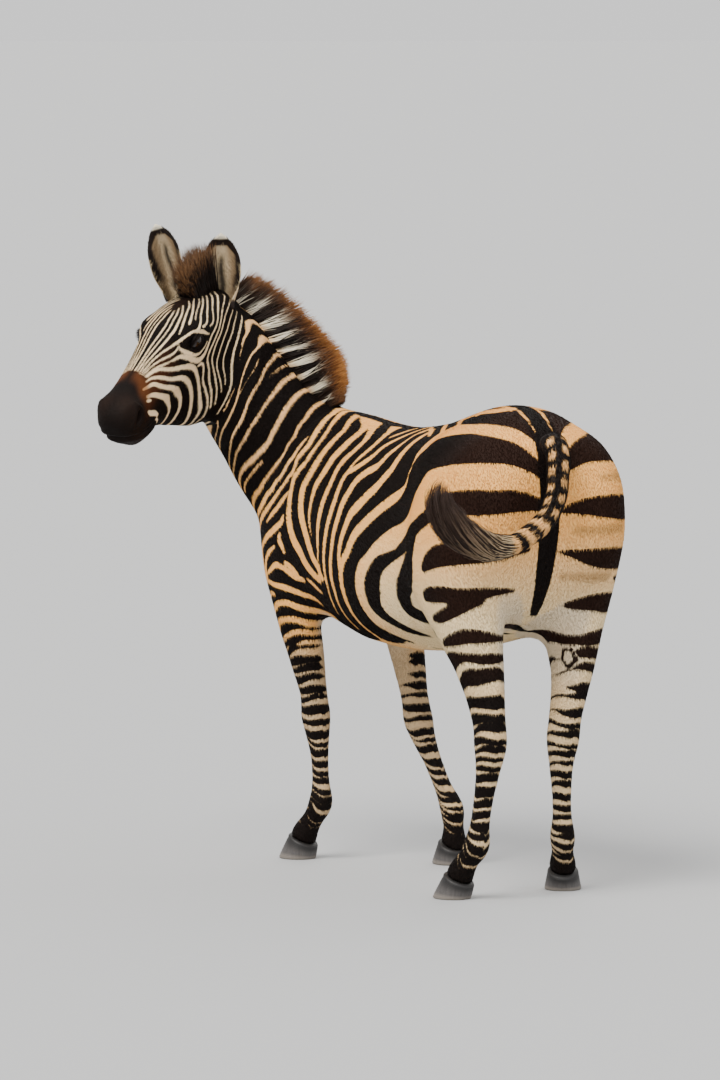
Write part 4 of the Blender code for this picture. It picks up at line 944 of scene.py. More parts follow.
def coat_finish(name, rough_edge):
    """Short hair in two colours that meet on a hair-edged line."""
    coat = Finish(name, roughness=0.66, specular_ior_level=0.09)
    lie = coat.stretched(60.0, 60.0, 14.0)
    hairs, grain = coat.noise(9.0, 4.0, lie, 0.6), coat.noise(14.0, 5.0, lie, 0.65)
    edge = coat.attribute("depth") + (hairs - 0.5) * (0.006 * rough_edge)
    light, dark = coat.attribute("light", "Color"), coat.attribute("dark", "Color")
    light = coat.mix((grain - 0.35) * 0.9, light, coat.mix(0.24, light, srgb(110, 74, 44)))
    cloudy = coat.noise(5.0, 3.0).ramp(0.45, 0.8)
    light = coat.mix(cloudy * 0.35, light, coat.mix(0.30, light, srgb(190, 126, 68)))
    dark = coat.mix((grain - 0.3) * 0.4, dark, srgb(52, 32, 22))
    coat.set("Base Color", coat.mix(edge.ramp(-0.0011, 0.0011), light, dark))
    coat.set("Roughness", 0.50 + grain * 0.25)
    coat.bump(grain * 0.6 + hairs * 0.4, 0.35, 0.0016)
    return coat


# ---------------------------------------------------------------- short coat of small closed wedges
WEDGE = np.array(((0, 1, 2), (0, 2, 3), (2, 1, 3), (1, 0, 3)))
WEDGE_PATCH = 0.0015 * np.array(((-1.0, -1.0), (1.0, -1.0), (0.0, -0.4), (0.0, 1.0)))
COAT_COUNTS = {"coat_head": 44000, "coat_neck": 34000, "coat_trunk": 49000, "coat_rump": 46000,
               "coat_forelegs": 34000, "coat_hindlegs": 40000}
# of a tuft on the body, and how much less on the nose and on the feet
TUFT_LENGTH, NOSE_SHORTER, FEET_SHORTER = 0.0105, 0.0060, 0.0035
TUFT_WIDTH, NOSE_THINNER, FEET_THINNER = 0.0027, 0.0014, 0.0008


def wedges(root, way, out, length, width, sink=0.25):
    """Points and faces of one thin closed wedge of hair for each root."""
    half, long = normed(np.cross(out, way)) * (width / 2)[:, None], way * length[:, None]
    base = root - out * (width * sink)[:, None]
    crown = base + out * (width * 0.42)[:, None] + long * 0.12
    faces = (WEDGE + 4 * np.arange(len(root))[:, None, None]).reshape(-1, 3)
    return np.stack((base - half, base + half, crown, root + long), 1).reshape(-1, 3), faces


def scatter(co, tris, weight, count, rng):
    """Roots spread over triangles: which triangle, and the share of each corner."""
    a, b, c = co[tris].swapaxes(0, 1)
    sums = np.cumsum(np.linalg.norm(np.cross(b - a, c - a), axis=1) * weight[tris].mean(axis=1))
    which = np.searchsorted(sums, (np.arange(count) + rng.random(count)) / count * sums[-1])
    r, q = np.sqrt(rng.random(count)), rng.random(count)
    return np.minimum(which, len(tris) - 1), np.stack((1 - r, r * (1 - q), r * q), 1)


def lie_of_coat(co, out):
    """The way that the hair lies at each point of the skin."""
    s, _ = spine_places(co)
    along, _ = neck_chart(co)
    turn = PELVIS_HEADING + s * (WITHERS_HEADING - PELVIS_HEADING) / SPINE_LENGTH
    fall = 0.35 + 1.3 * soft(-s, -0.25, 0.05) + 0.5 * soft(-co[:, 2], -1.0, -0.65)
    way = blended(
        np.stack((-np.cos(turn), -np.sin(turn), -fall), 1),
        ((-0.55, -0.25, -0.80), soft(along, 0.12, 0.32) * (co[:, 0] > 0.2)),
        ((-0.12, 0.0, -1.0), 1 - soft(co[:, 2], 0.60, 0.78)),
        (0.92 * FACEWARD - 0.25 * BROWWARD, head_share(co)))
    return normed(way - out * (way * out).sum(axis=1, keepdims=True))


def bare_share(co):
    """1 where no hair grows: between the lids and inside the nostrils."""
    bare = np.zeros(len(co))
    for side in (-1, 1):
        centre, out, front, up = eye_frame(side)
        off = co - centre
        here = (np.abs(off @ out) < 0.04) & (np.linalg.norm(off, axis=1) < 0.05)
        bare = np.maximum(bare, here * (eye_opening(off @ front, off @ up) < 1.45))
        nostril = head_point(NOSTRIL[0], side * NOSTRIL[1], NOSTRIL[2])
        bare = np.maximum(bare, np.linalg.norm(co - nostril, axis=1) < 0.017)
    return bare


def part_of_coat(co):
    """Index of the coat piece that each point belongs to."""
    s, _ = spine_places(co)
    along, _ = neck_chart(co)
    face = head_share(co)
    leg = co[:, 2] < 0.68
    fore_end = ~leg & ((along > 0.26) & (co[:, 0] > 0.3) | (face > 0.3))
    part = np.where(leg, np.where(s > FORE_HALF, 4, 5), np.where(s > 0.36, 2, 3))
    return np.where(fore_end, np.where(face > 0.5, 0, 1), part)


def build_coat(skin, marks, finish):
    rng = np.random.default_rng(SEED)
    co, tris = points_of(skin), triangles_of(skin)
    loops = read(skin.loop_triangles, "loops", 3)
    uv = read(skin.uv_layers["OFBake"].data, "uv", 2, np.float32)
    out = normals_of(co, tris)
    way = lie_of_coat(co, out)
    hairy, face = 1.0 - bare_share(co), head_share(co)
    small = face * (0.55 + 0.45 * soft(head_places(co)[:, 0], 0.30, 0.46))
    weight = hairy * (1 + 1.4 * face)
    long_at = TUFT_LENGTH - NOSE_SHORTER * small - FEET_SHORTER * (1 - soft(co[:, 2], 0.30, 0.75))
    wide_at = TUFT_WIDTH - NOSE_THINNER * small - FEET_THINNER * (1 - soft(co[:, 2], 0.25, 0.75))
    owner = part_of_coat(co)[tris].max(axis=1)
    for k, (name, count) in enumerate(COAT_COUNTS.items()):
        mine = np.nonzero(owner == k)[0]
        which, share = scatter(co, tris[mine], weight, count, rng)
        which = mine[which]

        def here(values):
            corners = values[tris[which]]
            return (corners * (share[..., None] if corners.ndim > 2 else share)).sum(axis=1)

        grown = here(hairy) > 0.55
        which, share = which[grown], share[grown]
        n = len(which)
        root, normal, lie = here(co), normed(here(out)), here(way)
        lie = lie + np.cross(normal, lie) * rng.normal(0.0, 0.16, n)[:, None]
        lie = normed(lie + normal * (0.10 + 0.10 * rng.random(n))[:, None])
        length = here(long_at) * (0.75 + 0.5 * rng.random(n))
        width = here(wide_at) * (0.8 + 0.4 * rng.random(n))
        points, faces = wedges(root, lie, normal, length, width)
        patch = (uv[loops[which]] * share[..., None]).sum(axis=1)
        mesh = mesh_of(name, points, faces, (patch[:, None] + WEDGE_PATCH).reshape(-1, 2)[faces])
        for mark, values in zip(("depth", "light", "dark"), marks):
            keep(mesh, mark, np.repeat(here(values), 4, axis=0))
        new_piece(name, mesh, (), finish)


def unwrap(mesh):
    """A map of the skin's own shape."""
    thing = linked("unwrap", mesh)
    mesh.uv_layers.new(name="OFBake")
    bpy.context.view_layer.objects.active = thing
    thing.select_set(True)
    bpy.ops.object.mode_set(mode="EDIT")
    bpy.ops.mesh.select_all(action="SELECT")
    bpy.ops.uv.smart_project(angle_limit=1.15, island_margin=0.004, scale_to_bounds=True)
    bpy.ops.object.mode_set(mode="OBJECT")
    bpy.data.objects.remove(thing, do_unlink=True)


# ---------------------------------------------------------------- long hair: mane, forelock and tail
HAIRS = {
    "mane": (9000, 3500, 0.0035), "forelock": (2600, 800, 0.0028), "tail": (9000, 3000, 0.0030),
    "tuft": (2200, 600, 0.0036), "ear": (8000, 2500, 0.0016)}
BLACK_HAIR, WHITE_HAIR = srgb(14, 9, 8), srgb(248, 238, 214)
RUST_HAIR, BROWN_HAIR, GOLD_HAIR = srgb(188, 116, 52), srgb(74, 43, 23), srgb(236, 166, 88)
# share of the mane's run and half width of each white lock
WHITE_LOCKS = ((0.05, 0.020), (0.155, 0.026), (0.275, 0.030), (0.385, 0.022), (0.475, 0.022), (0.58, 0.026),
               (0.695, 0.024), (0.81, 0.026), (0.93, 0.016))
MANE_RUN = 0.70                     # of the crest, from the ears to the withers
MANE_HEIGHTS = (0.132, 0.132, 0.136, 0.141, 0.143, 0.135, 0.102, 0.030)
CREST_HALF, MANE_SINK = 0.017, 0.014
FORELOCK_START, FORELOCK_RUN = -0.018, 0.104
# x, y, z, radius across and in depth, from the root to the curl of the tuft
TAIL_RUN = ((-0.590, -0.040, 1.165, 0.024, 0.024), (-0.655, -0.040, 1.190, 0.032, 0.032),
            (-0.700, -0.030, 1.165, 0.030, 0.030), (-0.726, -0.016, 1.120, 0.028, 0.028),
            (-0.740, -0.002, 1.065, 0.027, 0.027), (-0.750, 0.030, 1.010, 0.026, 0.026),
            (-0.755, 0.085, 0.968, 0.025, 0.025), (-0.757, 0.135, 0.945, 0.024, 0.025),
            (-0.755, 0.190, 0.940, 0.020, 0.022), (-0.745, 0.240, 0.955, 0.014, 0.016))
TUFT_RUN = ((-0.757, 0.105, 0.957), (-0.757, 0.135, 0.945), (-0.755, 0.190, 0.940), (-0.745, 0.240, 0.955),
            (-0.730, 0.290, 0.990), (-0.712, 0.322, 1.040), (-0.695, 0.318, 1.090), (-0.682, 0.290, 1.130))
TAIL_MIDDLE = -0.30      # turn round the tail of the dark line down its middle
TAIL_CREAM = srgb(255, 198, 128)
TAIL_SIDES = 40


def hairs_of(name):
    full, quick, width = HAIRS[name]
    return full, width


def lock_faces(rings, count):
    """Triangles of count closed locks, each of rings of three corners and a tip."""
    faces = [(0, 1, 2)]
    for low in range(0, 3 * rings - 3, 3):
        for a, b in ((low, low + 1), (low + 1, low + 2), (low + 2, low)):
            faces += [(b, a, a + 3), (b, a + 3, b + 3)]
    tip = 3 * rings
    faces += [(tip - 2, tip - 3, tip), (tip - 1, tip - 2, tip), (tip - 3, tip - 1, tip)]
    return (np.array(faces) + (tip + 1) * np.arange(count)[:, None, None]).reshape(-1, 3)


def strands(root, way, out, length, width, curl, rings=4):
    """Flat closed locks that bend from their first way towards curl.

    Gives their points, faces, how far up its lock each point is, and the points in one lock.
    """
    side = normed(np.cross(out, way))
    corners, spot = [], root
    shares = np.arange(rings) / rings
    for share in shares:
        w = (width * (1.0 - 0.75 * share ** 1.5))[:, None]
        corners += [spot - side * w / 2, spot + side * w / 2, spot + np.cross(way, side) * w * 0.35]
        way = normed(way + curl / rings)
        spot = spot + way * (length / rings)[:, None]
    points = np.stack((*corners, spot), 1).reshape(-1, 3)
    height = np.tile(np.append(np.repeat(shares, 3), 1.0), len(root))
    return points, lock_faces(rings, len(root)), height, 3 * rings + 1


def hair_finish(name, grain=0.30):
    hair = Finish(name, roughness=0.5, specular_ior_level=0.2)
    streak = hair.noise(1.0, 3.0, hair.stretched(420.0, 420.0, 90.0))
    tone = hair.attribute("tone", "Color")
    hair.set("Base Color", hair.mix(streak * grain, tone, hair.mix(0.55, tone, srgb(70, 48, 34))))
    hair.set("Roughness", 0.42 + streak * 0.3)
    hair.bump(streak, 0.3, 0.001)
    return hair


def lock_map(across, height, size):
    """Map places of locks: a strip about 0.003 wide for each, upright at its own root's place."""
    ring = np.append(np.tile((-0.0015, 0.0015, 0.0), size // 3), 0.0)
    return np.stack((0.02 + 0.96 * np.repeat(across, size) + np.tile(ring, len(across)),
                     0.02 + 0.95 * height + 0.001 * np.tile(ring == 0, len(across))), 1)


def hair_part(root, way, out, length, width, tone, patch):
    """Short wedges of hair as one part of a piece."""
    points, faces = wedges(root, normed(way), out, length, np.full(len(root), width))
    return points, faces, np.repeat(tone, 4, axis=0), (patch[:, None] + WEDGE_PATCH).reshape(-1, 2)


def locks_piece(name, slot, replaces, finish, *parts):
    """One mesh from parts of (points, faces, tone, places on the map by point or by face corner)."""
    points, faces, tones, places = zip(*parts)
    starts = np.cumsum([0] + [len(p) for p in points])
    places = [place if place.ndim == 3 else place[f] for f, place in zip(faces, places)]
    mesh = mesh_of(name, np.vstack(points), np.vstack([f + start for f, start in zip(faces, starts)]),
                   np.vstack(places))
    keep(mesh, "tone", np.vstack(tones))
    new_piece(name, mesh, replaces, finish)


def shaded(height, *stops):
    """Colours along a lock, from (share, colour) stops."""
    shares, colours = zip(*stops)
    return on_run(height, shares, colours)


def crest_places(share):
    """Points of the crest, the way up from it, along it and to its side, at shares of the mane's run."""
    rows = finer(CREST, 6)
    centre = rows[:, :3] - ORIGIN
    along = normed(np.gradient(centre, axis=0))
    side = normed(np.cross((0, 0, 1), along))
    up = np.cross(along, side)
    top = (centre + up * rows[:, 3:4])[::-1]
    run = run_of(top)
    return [on_run(share * run[-1] * MANE_RUN, run, v) for v in (top, up[::-1], -along[::-1], side[::-1])]


def build_mane(finish):
    rng = np.random.default_rng(SEED + 1)
    count, wide = hairs_of("mane")
    share = (np.arange(count) + rng.random(count)) / count
    top, up, along, side = crest_places(share)
    across = rng.normal(0.0, 0.45, count).clip(-1, 1)
    root = top + side * (CREST_HALF * across)[:, None] - up * (0.012 + 0.006 * across ** 2)[:, None]
    height = np.interp(share, np.linspace(0, 1, len(MANE_HEIGHTS)), MANE_HEIGHTS) + MANE_SINK
    short = np.abs(rng.normal(0, 0.16, count)).clip(0, 0.55)
    length = height * (1.02 - short) * (1 - 0.18 * np.abs(across))
    clump = 0.09 * np.sin(share * 190) + 0.06 * np.sin(share * 83 + 1.0)
    way = up + along * (0.20 + clump + rng.normal(0, 0.05, count))[:, None]
    way = normed(way + side * (0.16 * across + rng.normal(0, 0.04, count))[:, None])
    curl = along * (0.10 + rng.normal(0, 0.10, count))[:, None] + side * rng.normal(0, 0.08, count)[:, None]
    facing = np.where(across[:, None] >= 0, side, -side) + along * rng.normal(0, 0.5, count)[:, None]
    width = wide * (0.7 + 0.6 * rng.random(count))
    points, faces, level, size = strands(root, way, facing, length, width, curl)
    white = np.zeros(count)
    for middle, half in WHITE_LOCKS:
        off = np.abs(share - middle) + rng.normal(0, 0.004, count)
        white = np.maximum(white, 1 - soft(off, half * 0.62, half))
    tall = level * np.repeat(length / height, size) * (0.93 + 0.14 * np.repeat(rng.random(count), size))
    dull = np.repeat((1 - soft(share, 0.06, 0.42)) * 0.45 + soft(share, 0.84, 1.0) * 0.8, size) * tall
    dark = shaded(tall, (0, BLACK_HAIR), (0.52, BLACK_HAIR), (0.76, BROWN_HAIR), (0.92, RUST_HAIR),
                  (1.0, GOLD_HAIR))
    light = shaded(tall, (0, srgb(250, 215, 165)), (0.12, WHITE_HAIR), (0.40, WHITE_HAIR),
                   (0.60, srgb(120, 84, 54)), (0.74, BROWN_HAIR), (0.90, RUST_HAIR), (1.0, GOLD_HAIR))
    tone = blended(dark, (light, np.repeat(white, size)), (srgb(92, 66, 46), dull))
    locks_piece("mane_hair", "hair", ("mane",), finish, (points, faces, tone, lock_map(share, level, size)))


def build_forelock(finish):
    rng = np.random.default_rng(SEED + 2)
    count, wide = hairs_of("forelock")
    s = FORELOCK_START + FORELOCK_RUN * rng.random(count)
    across = rng.normal(0, 0.012, count).clip(-0.026, 0.026)
    at = np.stack((s, across, 0.004 + 0.30 * (s - 0.028) - 0.15 * np.abs(across)), 1)
    root = POLL + at @ HEAD_AXES.T * HEAD_SCALE
    way = BROWWARD + FACEWARD * (-0.34 + 4.6 * s + rng.normal(0, 0.10, count))[:, None]
    way = normed(way + HEAD_LEFT * (2.4 * across - 0.16 + rng.normal(0, 0.06, count))[:, None])
    length = np.interp(s, (-0.018, 0.02, 0.05, 0.07, 0.086), (0.140, 0.138, 0.126, 0.100, 0.045))
    length = length * (1 - 0.4 * rng.random(count) ** 2)
    facing = HEAD_LEFT * np.sign(across + 1e-9)[:, None] + FACEWARD * rng.normal(0.4, 0.5, count)[:, None]
    curl = FACEWARD * rng.normal(0.10, 0.12, count)[:, None] + HEAD_LEFT * rng.normal(0, 0.10, count)[:, None]
    width = wide * (0.7 + 0.6 * rng.random(count))
    points, faces, level, size = strands(root, way, facing, length, width, curl)
    tall = level * (0.9 + 0.2 * np.repeat(rng.random(count), size))
    middle = np.repeat(0.75 * hump(across, -0.002, 0.009) * (1 - soft(s, 0.03, 0.06)), size)
    tone = shaded(tall, (0, BLACK_HAIR), (0.58, BLACK_HAIR), (0.84, srgb(46, 29, 18)),
                  (1.0, srgb(126, 86, 46)))
    locks_piece("forelock_hair", "hair", ("forelock",), finish,
                (points, faces, blended(tone, (BLACK_HAIR, middle)),
                 lock_map((s - FORELOCK_START) / FORELOCK_RUN, level, size)))


def tail_frames(rows, steps):
    path = finer(rows, steps)
    centre = path[:, :3] - ORIGIN
    along = normed(np.gradient(centre, axis=0))
    rearward = np.array((-0.7, -0.7, 0.0))
    side = normed(rearward - along * (along @ rearward)[:, None])
    return path, centre, along, side, np.cross(along, side), run_of(centre)


def tail_tone(run, angle):
    """Cream patches in two columns on the upper dock, then rings; black between."""
    off_middle = np.cos(angle - TAIL_MIDDLE)     # 0 along the middle of the tail, front and back
    beat = np.sin(run * 2 * math.pi / 0.040 + 0.5 + 1.1 * np.sign(off_middle))
    off_middle = np.abs(off_middle)
    columns = soft(beat, -0.10, 0.15) * soft(off_middle, 0.24, 0.38) * (1 - soft(off_middle, 0.80, 0.92))
    rings = soft(np.sin(run * 2 * math.pi / 0.046 + 0.9 * np.cos(angle)), -0.05, 0.25)
    lower = soft(run, 0.285, 0.325)
    return blended(BLACK_HAIR, (TAIL_CREAM, (run >= 0.085) * (columns * (1 - lower) + rings * lower)))


def tail_map(share, turn):
    """Map places by share of the tail's length and turn round it."""
    return np.stack((0.02 + 0.94 * (turn / (2 * math.pi)), 0.02 + 0.96 * share), 1)


def build_tail(finish):
    rng = np.random.default_rng(SEED + 3)
    path, centre, along, side, front, run = tail_frames(TAIL_RUN, 9)
    angle = 2 * math.pi * np.arange(TAIL_SIDES) / TAIL_SIDES
    bumpy = 1 + 0.035 * np.sin(run * 180)[:, None] * np.cos(angle)
    across, deep = np.cos(angle) * path[:, 3:4] * bumpy, np.sin(angle) * path[:, 4:5] * bumpy
    ring = centre[:, None] + side[:, None] * across[..., None] + front[:, None] * deep[..., None]
    n = len(ring)
    points = np.vstack((ring.reshape(-1, 3), centre[:1], centre[-1:]))
    faces = tube_faces(n, TAIL_SIDES)[:, ::-1]
    runs = np.append(np.repeat(run, TAIL_SIDES), (0, run[-1]))
    angles = np.tile(angle, n)
    places = tail_map(runs / run[-1], np.append(angles, (math.pi, math.pi)))[faces]
    around = places[..., 0]
    around += (around < 0.3) & (around.max(axis=1, keepdims=True) > 0.7)     # faces over the seam
    places[..., 0] *= 0.97
    dock = points, faces, tail_tone(runs, np.append(angles, (0, 0))), places
    count, wide = hairs_of("tail")
    pick, turn = rng.random(count) * (n - 1.001), 2 * math.pi * rng.random(count)

    def at(values):
        return on_run(pick, np.arange(n), values)

    out = at(side) * np.cos(turn)[:, None] + at(front) * np.sin(turn)[:, None]
    root = at(centre) + out * at(path[:, 3:4]) * 0.99
    way = at(along) + out * 0.16 + np.cross(at(along), out) * rng.normal(0, 0.15, count)[:, None]
    where = at(run[:, None])[:, 0]
    hair = hair_part(root, way, out, 0.013 + 0.008 * rng.random(count), wide, tail_tone(where, turn),
                     tail_map(where / run[-1], turn) * (0.97, 1))
    locks_piece("tail_dock", "hair", ("tail",), finish, dock, hair)


def build_tuft(finish):
    """Long locks that leave the dock's end and follow its curl, ends fanning out."""
    rng = np.random.default_rng(SEED + 4)
    _, centre, _, side, front, run = tail_frames(TUFT_RUN, 8)
    count, thick = hairs_of("tuft")
    rings = 8
    stops = np.linspace(0, 1, 11)
    spread_by = np.interp(stops, (0, 0.25, 0.6, 0.85, 1.0), (0.026, 0.042, 0.046, 0.030, 0.008))
    start = rng.random(count) ** 1.3 * 0.42
    reach = np.minimum(start + (0.32 + 0.42 * rng.random(count)) * (1.15 - start), 1.0)
    turn, far = 2 * math.pi * rng.random(count), np.sqrt(rng.random(count))
    corners, shares = [], np.linspace(0, 1, rings + 1)
    for share in shares:
        at = start + (reach - start) * share
        spot, a, b = [on_run(at * run[-1], run, v) for v in (centre, side, front)]
        wide = np.interp(at, stops, spread_by) * far * (0.75 + 0.35 * share)
        wide = wide + 0.004 * share * np.sin(9 * share + 40 * turn)
        c, s = np.cos(turn + 0.5 * share)[:, None], np.sin(turn + 0.5 * share)[:, None]
        outward, across = a * c + b * s, b * c - a * s
        spot = spot + outward * wide[:, None]
        w = thick * (1 - 0.8 * share ** 2)
        corners += [spot - across * w / 2, spot + across * w / 2, spot + outward * w * 0.4]
    points = np.stack((*corners[:-3], spot), 1).reshape(-1, 3)
    size = 3 * rings + 1
    level = np.tile(np.append(np.repeat(shares[:-1], 3), 1.0), count)
    place = np.repeat(start, size) + np.repeat(reach - start, size) * level
    pale = (rng.random(count) < 0.42) & (start < 0.25)
    slots = np.argsort(np.argsort(~pale, kind="stable")) / count
    black = shaded(place, (0, BLACK_HAIR), (0.45, srgb(36, 26, 22)), (1.0, srgb(52, 36, 28)))
    grey = shaded(place, (0, srgb(226, 200, 156)), (0.22, srgb(176, 152, 120)), (0.42, srgb(112, 92, 74)),
                  (0.7, srgb(48, 36, 30)), (1.0, srgb(48, 34, 27)))
    tone = np.where(np.repeat(pale, size)[:, None], grey, black)
    locks_piece("tail_tuft_hair", "hair", ("tail_tuft",), finish,
                (points, lock_faces(rings, count), tone, lock_map(slots, place, size)))


# ---------------------------------------------------------------- ears
EAR_LENGTH, EAR_HALF_WIDTH, EAR_WALL = 0.208, 0.0495, 0.0042
# share of the length, of the full half width, and degrees that each side wraps round
EAR_SHAPE = ((0.00, 0.58, 150), (0.14, 0.66, 128), (0.28, 0.84, 104), (0.45, 0.98, 84), (0.62, 1.00, 70),
             (0.76, 0.90, 60), (0.88, 0.66, 52), (0.95, 0.42, 46), (1.00, 0.14, 40))
EAR_ARCS = 32
# node, seat on the head, lean out and ahead, turn of the mouth to the left, width
EARS = (("ear_left", (0.030, 0.056, -0.035), -0.15, -0.20, 0.66, 1.08),
        ("ear_right", (0.028, -0.083, -0.020), -0.27, 0.06, 0.24, 0.95))
EAR_ROWS = finer(EAR_SHAPE, 5)
EAR_SHARE, EAR_WRAP = np.clip(EAR_ROWS[:, 0], 0, 1), np.radians(EAR_ROWS[:, 2])
EAR_TURN = np.linspace(-1, 1, EAR_ARCS + 1)


def ear_frame(seat, lean_out, lean_ahead, turn):
    """Base of an ear, and the ways up it, out of its mouth and across it."""
    level = normed(FACEWARD * (1, 1, 0))
    up = normed((0, 0, 1) + HEAD_LEFT * lean_out + level * lean_ahead)
    mouth = level + HEAD_LEFT * turn
    mouth = normed(mouth - up * mouth.dot(up))
    return head_point(*seat), up, mouth, np.cross(up, mouth)


def ear_tone(share, k, inner):
    """Grey hair within a dark rim, a white tip, and bands behind; inside, painted highlight across the
    middle, split by a line of painted shade down the hollow.
    """
    wrap = np.interp(share, EAR_ROWS[:, 0], EAR_WRAP)
    reach = np.sin(np.minimum(wrap * np.abs(k), math.pi / 2)) / np.sin(np.minimum(wrap, math.pi / 2))
    narrow = 0.30 * soft(share, 0.74, 0.92)
    rim = np.maximum(soft(reach, 0.78 - narrow, 0.88 - narrow), soft(share, 0.87, 0.90))
    rim = rim * soft(share, 0.16, 0.34)
    # painted shade: a dark line down the middle of the ear's hollow
    painted_hollow_shade = hump(k, 0.03 - 0.03 * np.sin(share * 14), 0.15)
    painted_hollow_shade = painted_hollow_shade * soft(share, 0.06, 0.16) * (1 - soft(share, 0.62, 0.82))
    inside = blended(
        srgb(132, 110, 82),
        # painted highlight: lighter hair across the middle of the inside
        (srgb(200, 180, 146), soft(-np.abs(k), -0.6, -0.15) * 0.7),
        # painted shade down the hollow
        (srgb(12, 8, 7), painted_hollow_shade * 0.95),
        (srgb(20, 11, 7), rim),
        (srgb(196, 176, 140), soft(np.abs(k), 0.955, 0.975) * (share < 0.62) * 0.8))
    bands = soft(np.sin(share * 17 + 1.2), -0.2, 0.1) * (share < 0.5)
    outside = blended(srgb(214, 188, 150), (srgb(30, 21, 18), np.maximum(bands, soft(share, 0.55, 0.62))))
    tone = np.where(inner[:, None], inside, outside)
    return blended(tone, (srgb(250, 240, 216), soft(share, 0.955, 0.975)))


def ear_map(share, k, inner):
    return np.stack((0.02 + 0.46 * (k + 1) / 2 + 0.50 * inner, 0.02 + 0.95 * share), 1)


def ear_faces(outer, inner):
    """Triangles over both sides of a sheet of points and round its four edges."""
    return np.vstack((
        quads(outer[:-1, :-1], outer[:-1, 1:], outer[1:, 1:], outer[1:, :-1]),
        quads(inner[:-1, 1:], inner[:-1, :-1], inner[1:, :-1], inner[1:, 1:]),
        quads(outer[:-1, 0], outer[1:, 0], inner[1:, 0], inner[:-1, 0]),
        quads(outer[:-1, -1], inner[:-1, -1], inner[1:, -1], outer[1:, -1]),
        quads(outer[-1, :-1], outer[-1, 1:], inner[-1, 1:], inner[-1, :-1]),
        quads(outer[0, 1:], outer[0, :-1], inner[0, :-1], inner[0, 1:])))


def build_ear(name, seat, lean_out, lean_ahead, turn, wide, finish):
    rng = np.random.default_rng(SEED + 5)
    base, up, mouth, across = ear_frame(seat, lean_out, lean_ahead, turn)
    share, wrap, k = EAR_SHARE, EAR_WRAP, EAR_TURN
    radius = wide * EAR_HALF_WIDTH * EAR_ROWS[:, 1] / np.sin(np.minimum(wrap, math.pi / 2))
    lift = radius * np.cos(np.minimum(wrap, 1.9)) * 0.6
    axis = base + up * (EAR_LENGTH * share)[:, None] + mouth * lift[:, None]
    angle = wrap[:, None] * k
    out = across * np.sin(angle)[..., None] - mouth * np.cos(angle)[..., None]
    folds = 0.0010 * np.sin(7 * k) * np.sin(share * 3.1)[:, None]
    wall = np.stack((np.zeros_like(angle), EAR_WALL * (1 - 0.75 * np.abs(k) ** 6) + folds))
    shells = axis[:, None] + out * (radius[:, None] - wall)[..., None]
    n, m = angle.shape
    points = shells.reshape(-1, 3)
    faces = ear_faces(*np.arange(len(points)).reshape(2, n, m))
    shares, ks = np.tile(np.repeat(share, m), 2), np.tile(k, 2 * n)
    inner = np.arange(len(points)) >= n * m
    corners = ear_map(shares, ks, inner)[faces]
    # faces that join the two sides at the edge
    rim = inner[faces].any(axis=1) & ~inner[faces].all(axis=1)
    corners[rim] -= inner[faces[rim]][..., None] * (0.496, -0.002)
    shell = points, faces, ear_tone(shares, ks, inner), corners
    count, thick = hairs_of("ear")
    row_at = rng.random(count) ** 0.9 * (n - 1.01)
    col = rng.random(count) * (m - 1.01)
    in_side = rng.random(count) < 0.6
    side, i, j = in_side.astype(int), row_at.astype(int), col.astype(int)
    ti, tj = (row_at - i)[:, None], (col - j)[:, None]

    def on(grid):
        low, high = [grid[side, i, at] * (1 - ti) + grid[side, i + 1, at] * ti for at in (j, j + 1)]
        return low * (1 - tj) + high * tj

    root = on(shells)
    normal = normed(on(np.stack((out, out))) * np.where(in_side, -1, 1)[:, None])
    kk, ss = np.interp(col, np.arange(m), k), np.interp(row_at, np.arange(n), share)
    inward = np.where(in_side, -np.sign(kk) * 0.55 * (np.abs(kk) > 0.25), 0.0)
    curve = across * np.cos(kk * 1.2)[:, None] + mouth * np.sin(kk * 1.2)[:, None]
    way = up * 0.9 + curve * inward[:, None] + normal * (0.14 + 0.10 * in_side)[:, None]
    way = way + rng.normal(0, 0.12, (count, 3))
    length = np.where(in_side, 0.012 + 0.010 * rng.random(count), 0.008) * (1 - 0.5 * soft(ss, 0.80, 1.0))
    tone = ear_tone(ss, kk, in_side) * (0.8 + 0.4 * rng.random(count))[:, None]
    hair = hair_part(root, way, normal, length, thick, tone, ear_map(ss, kk, in_side))
    locks_piece(name + "_shell", "coat", (name,), finish, shell, hair)


# ---------------------------------------------------------------- eyes and lashes
LASHES, LASH_WIDTH = 130, 0.0011


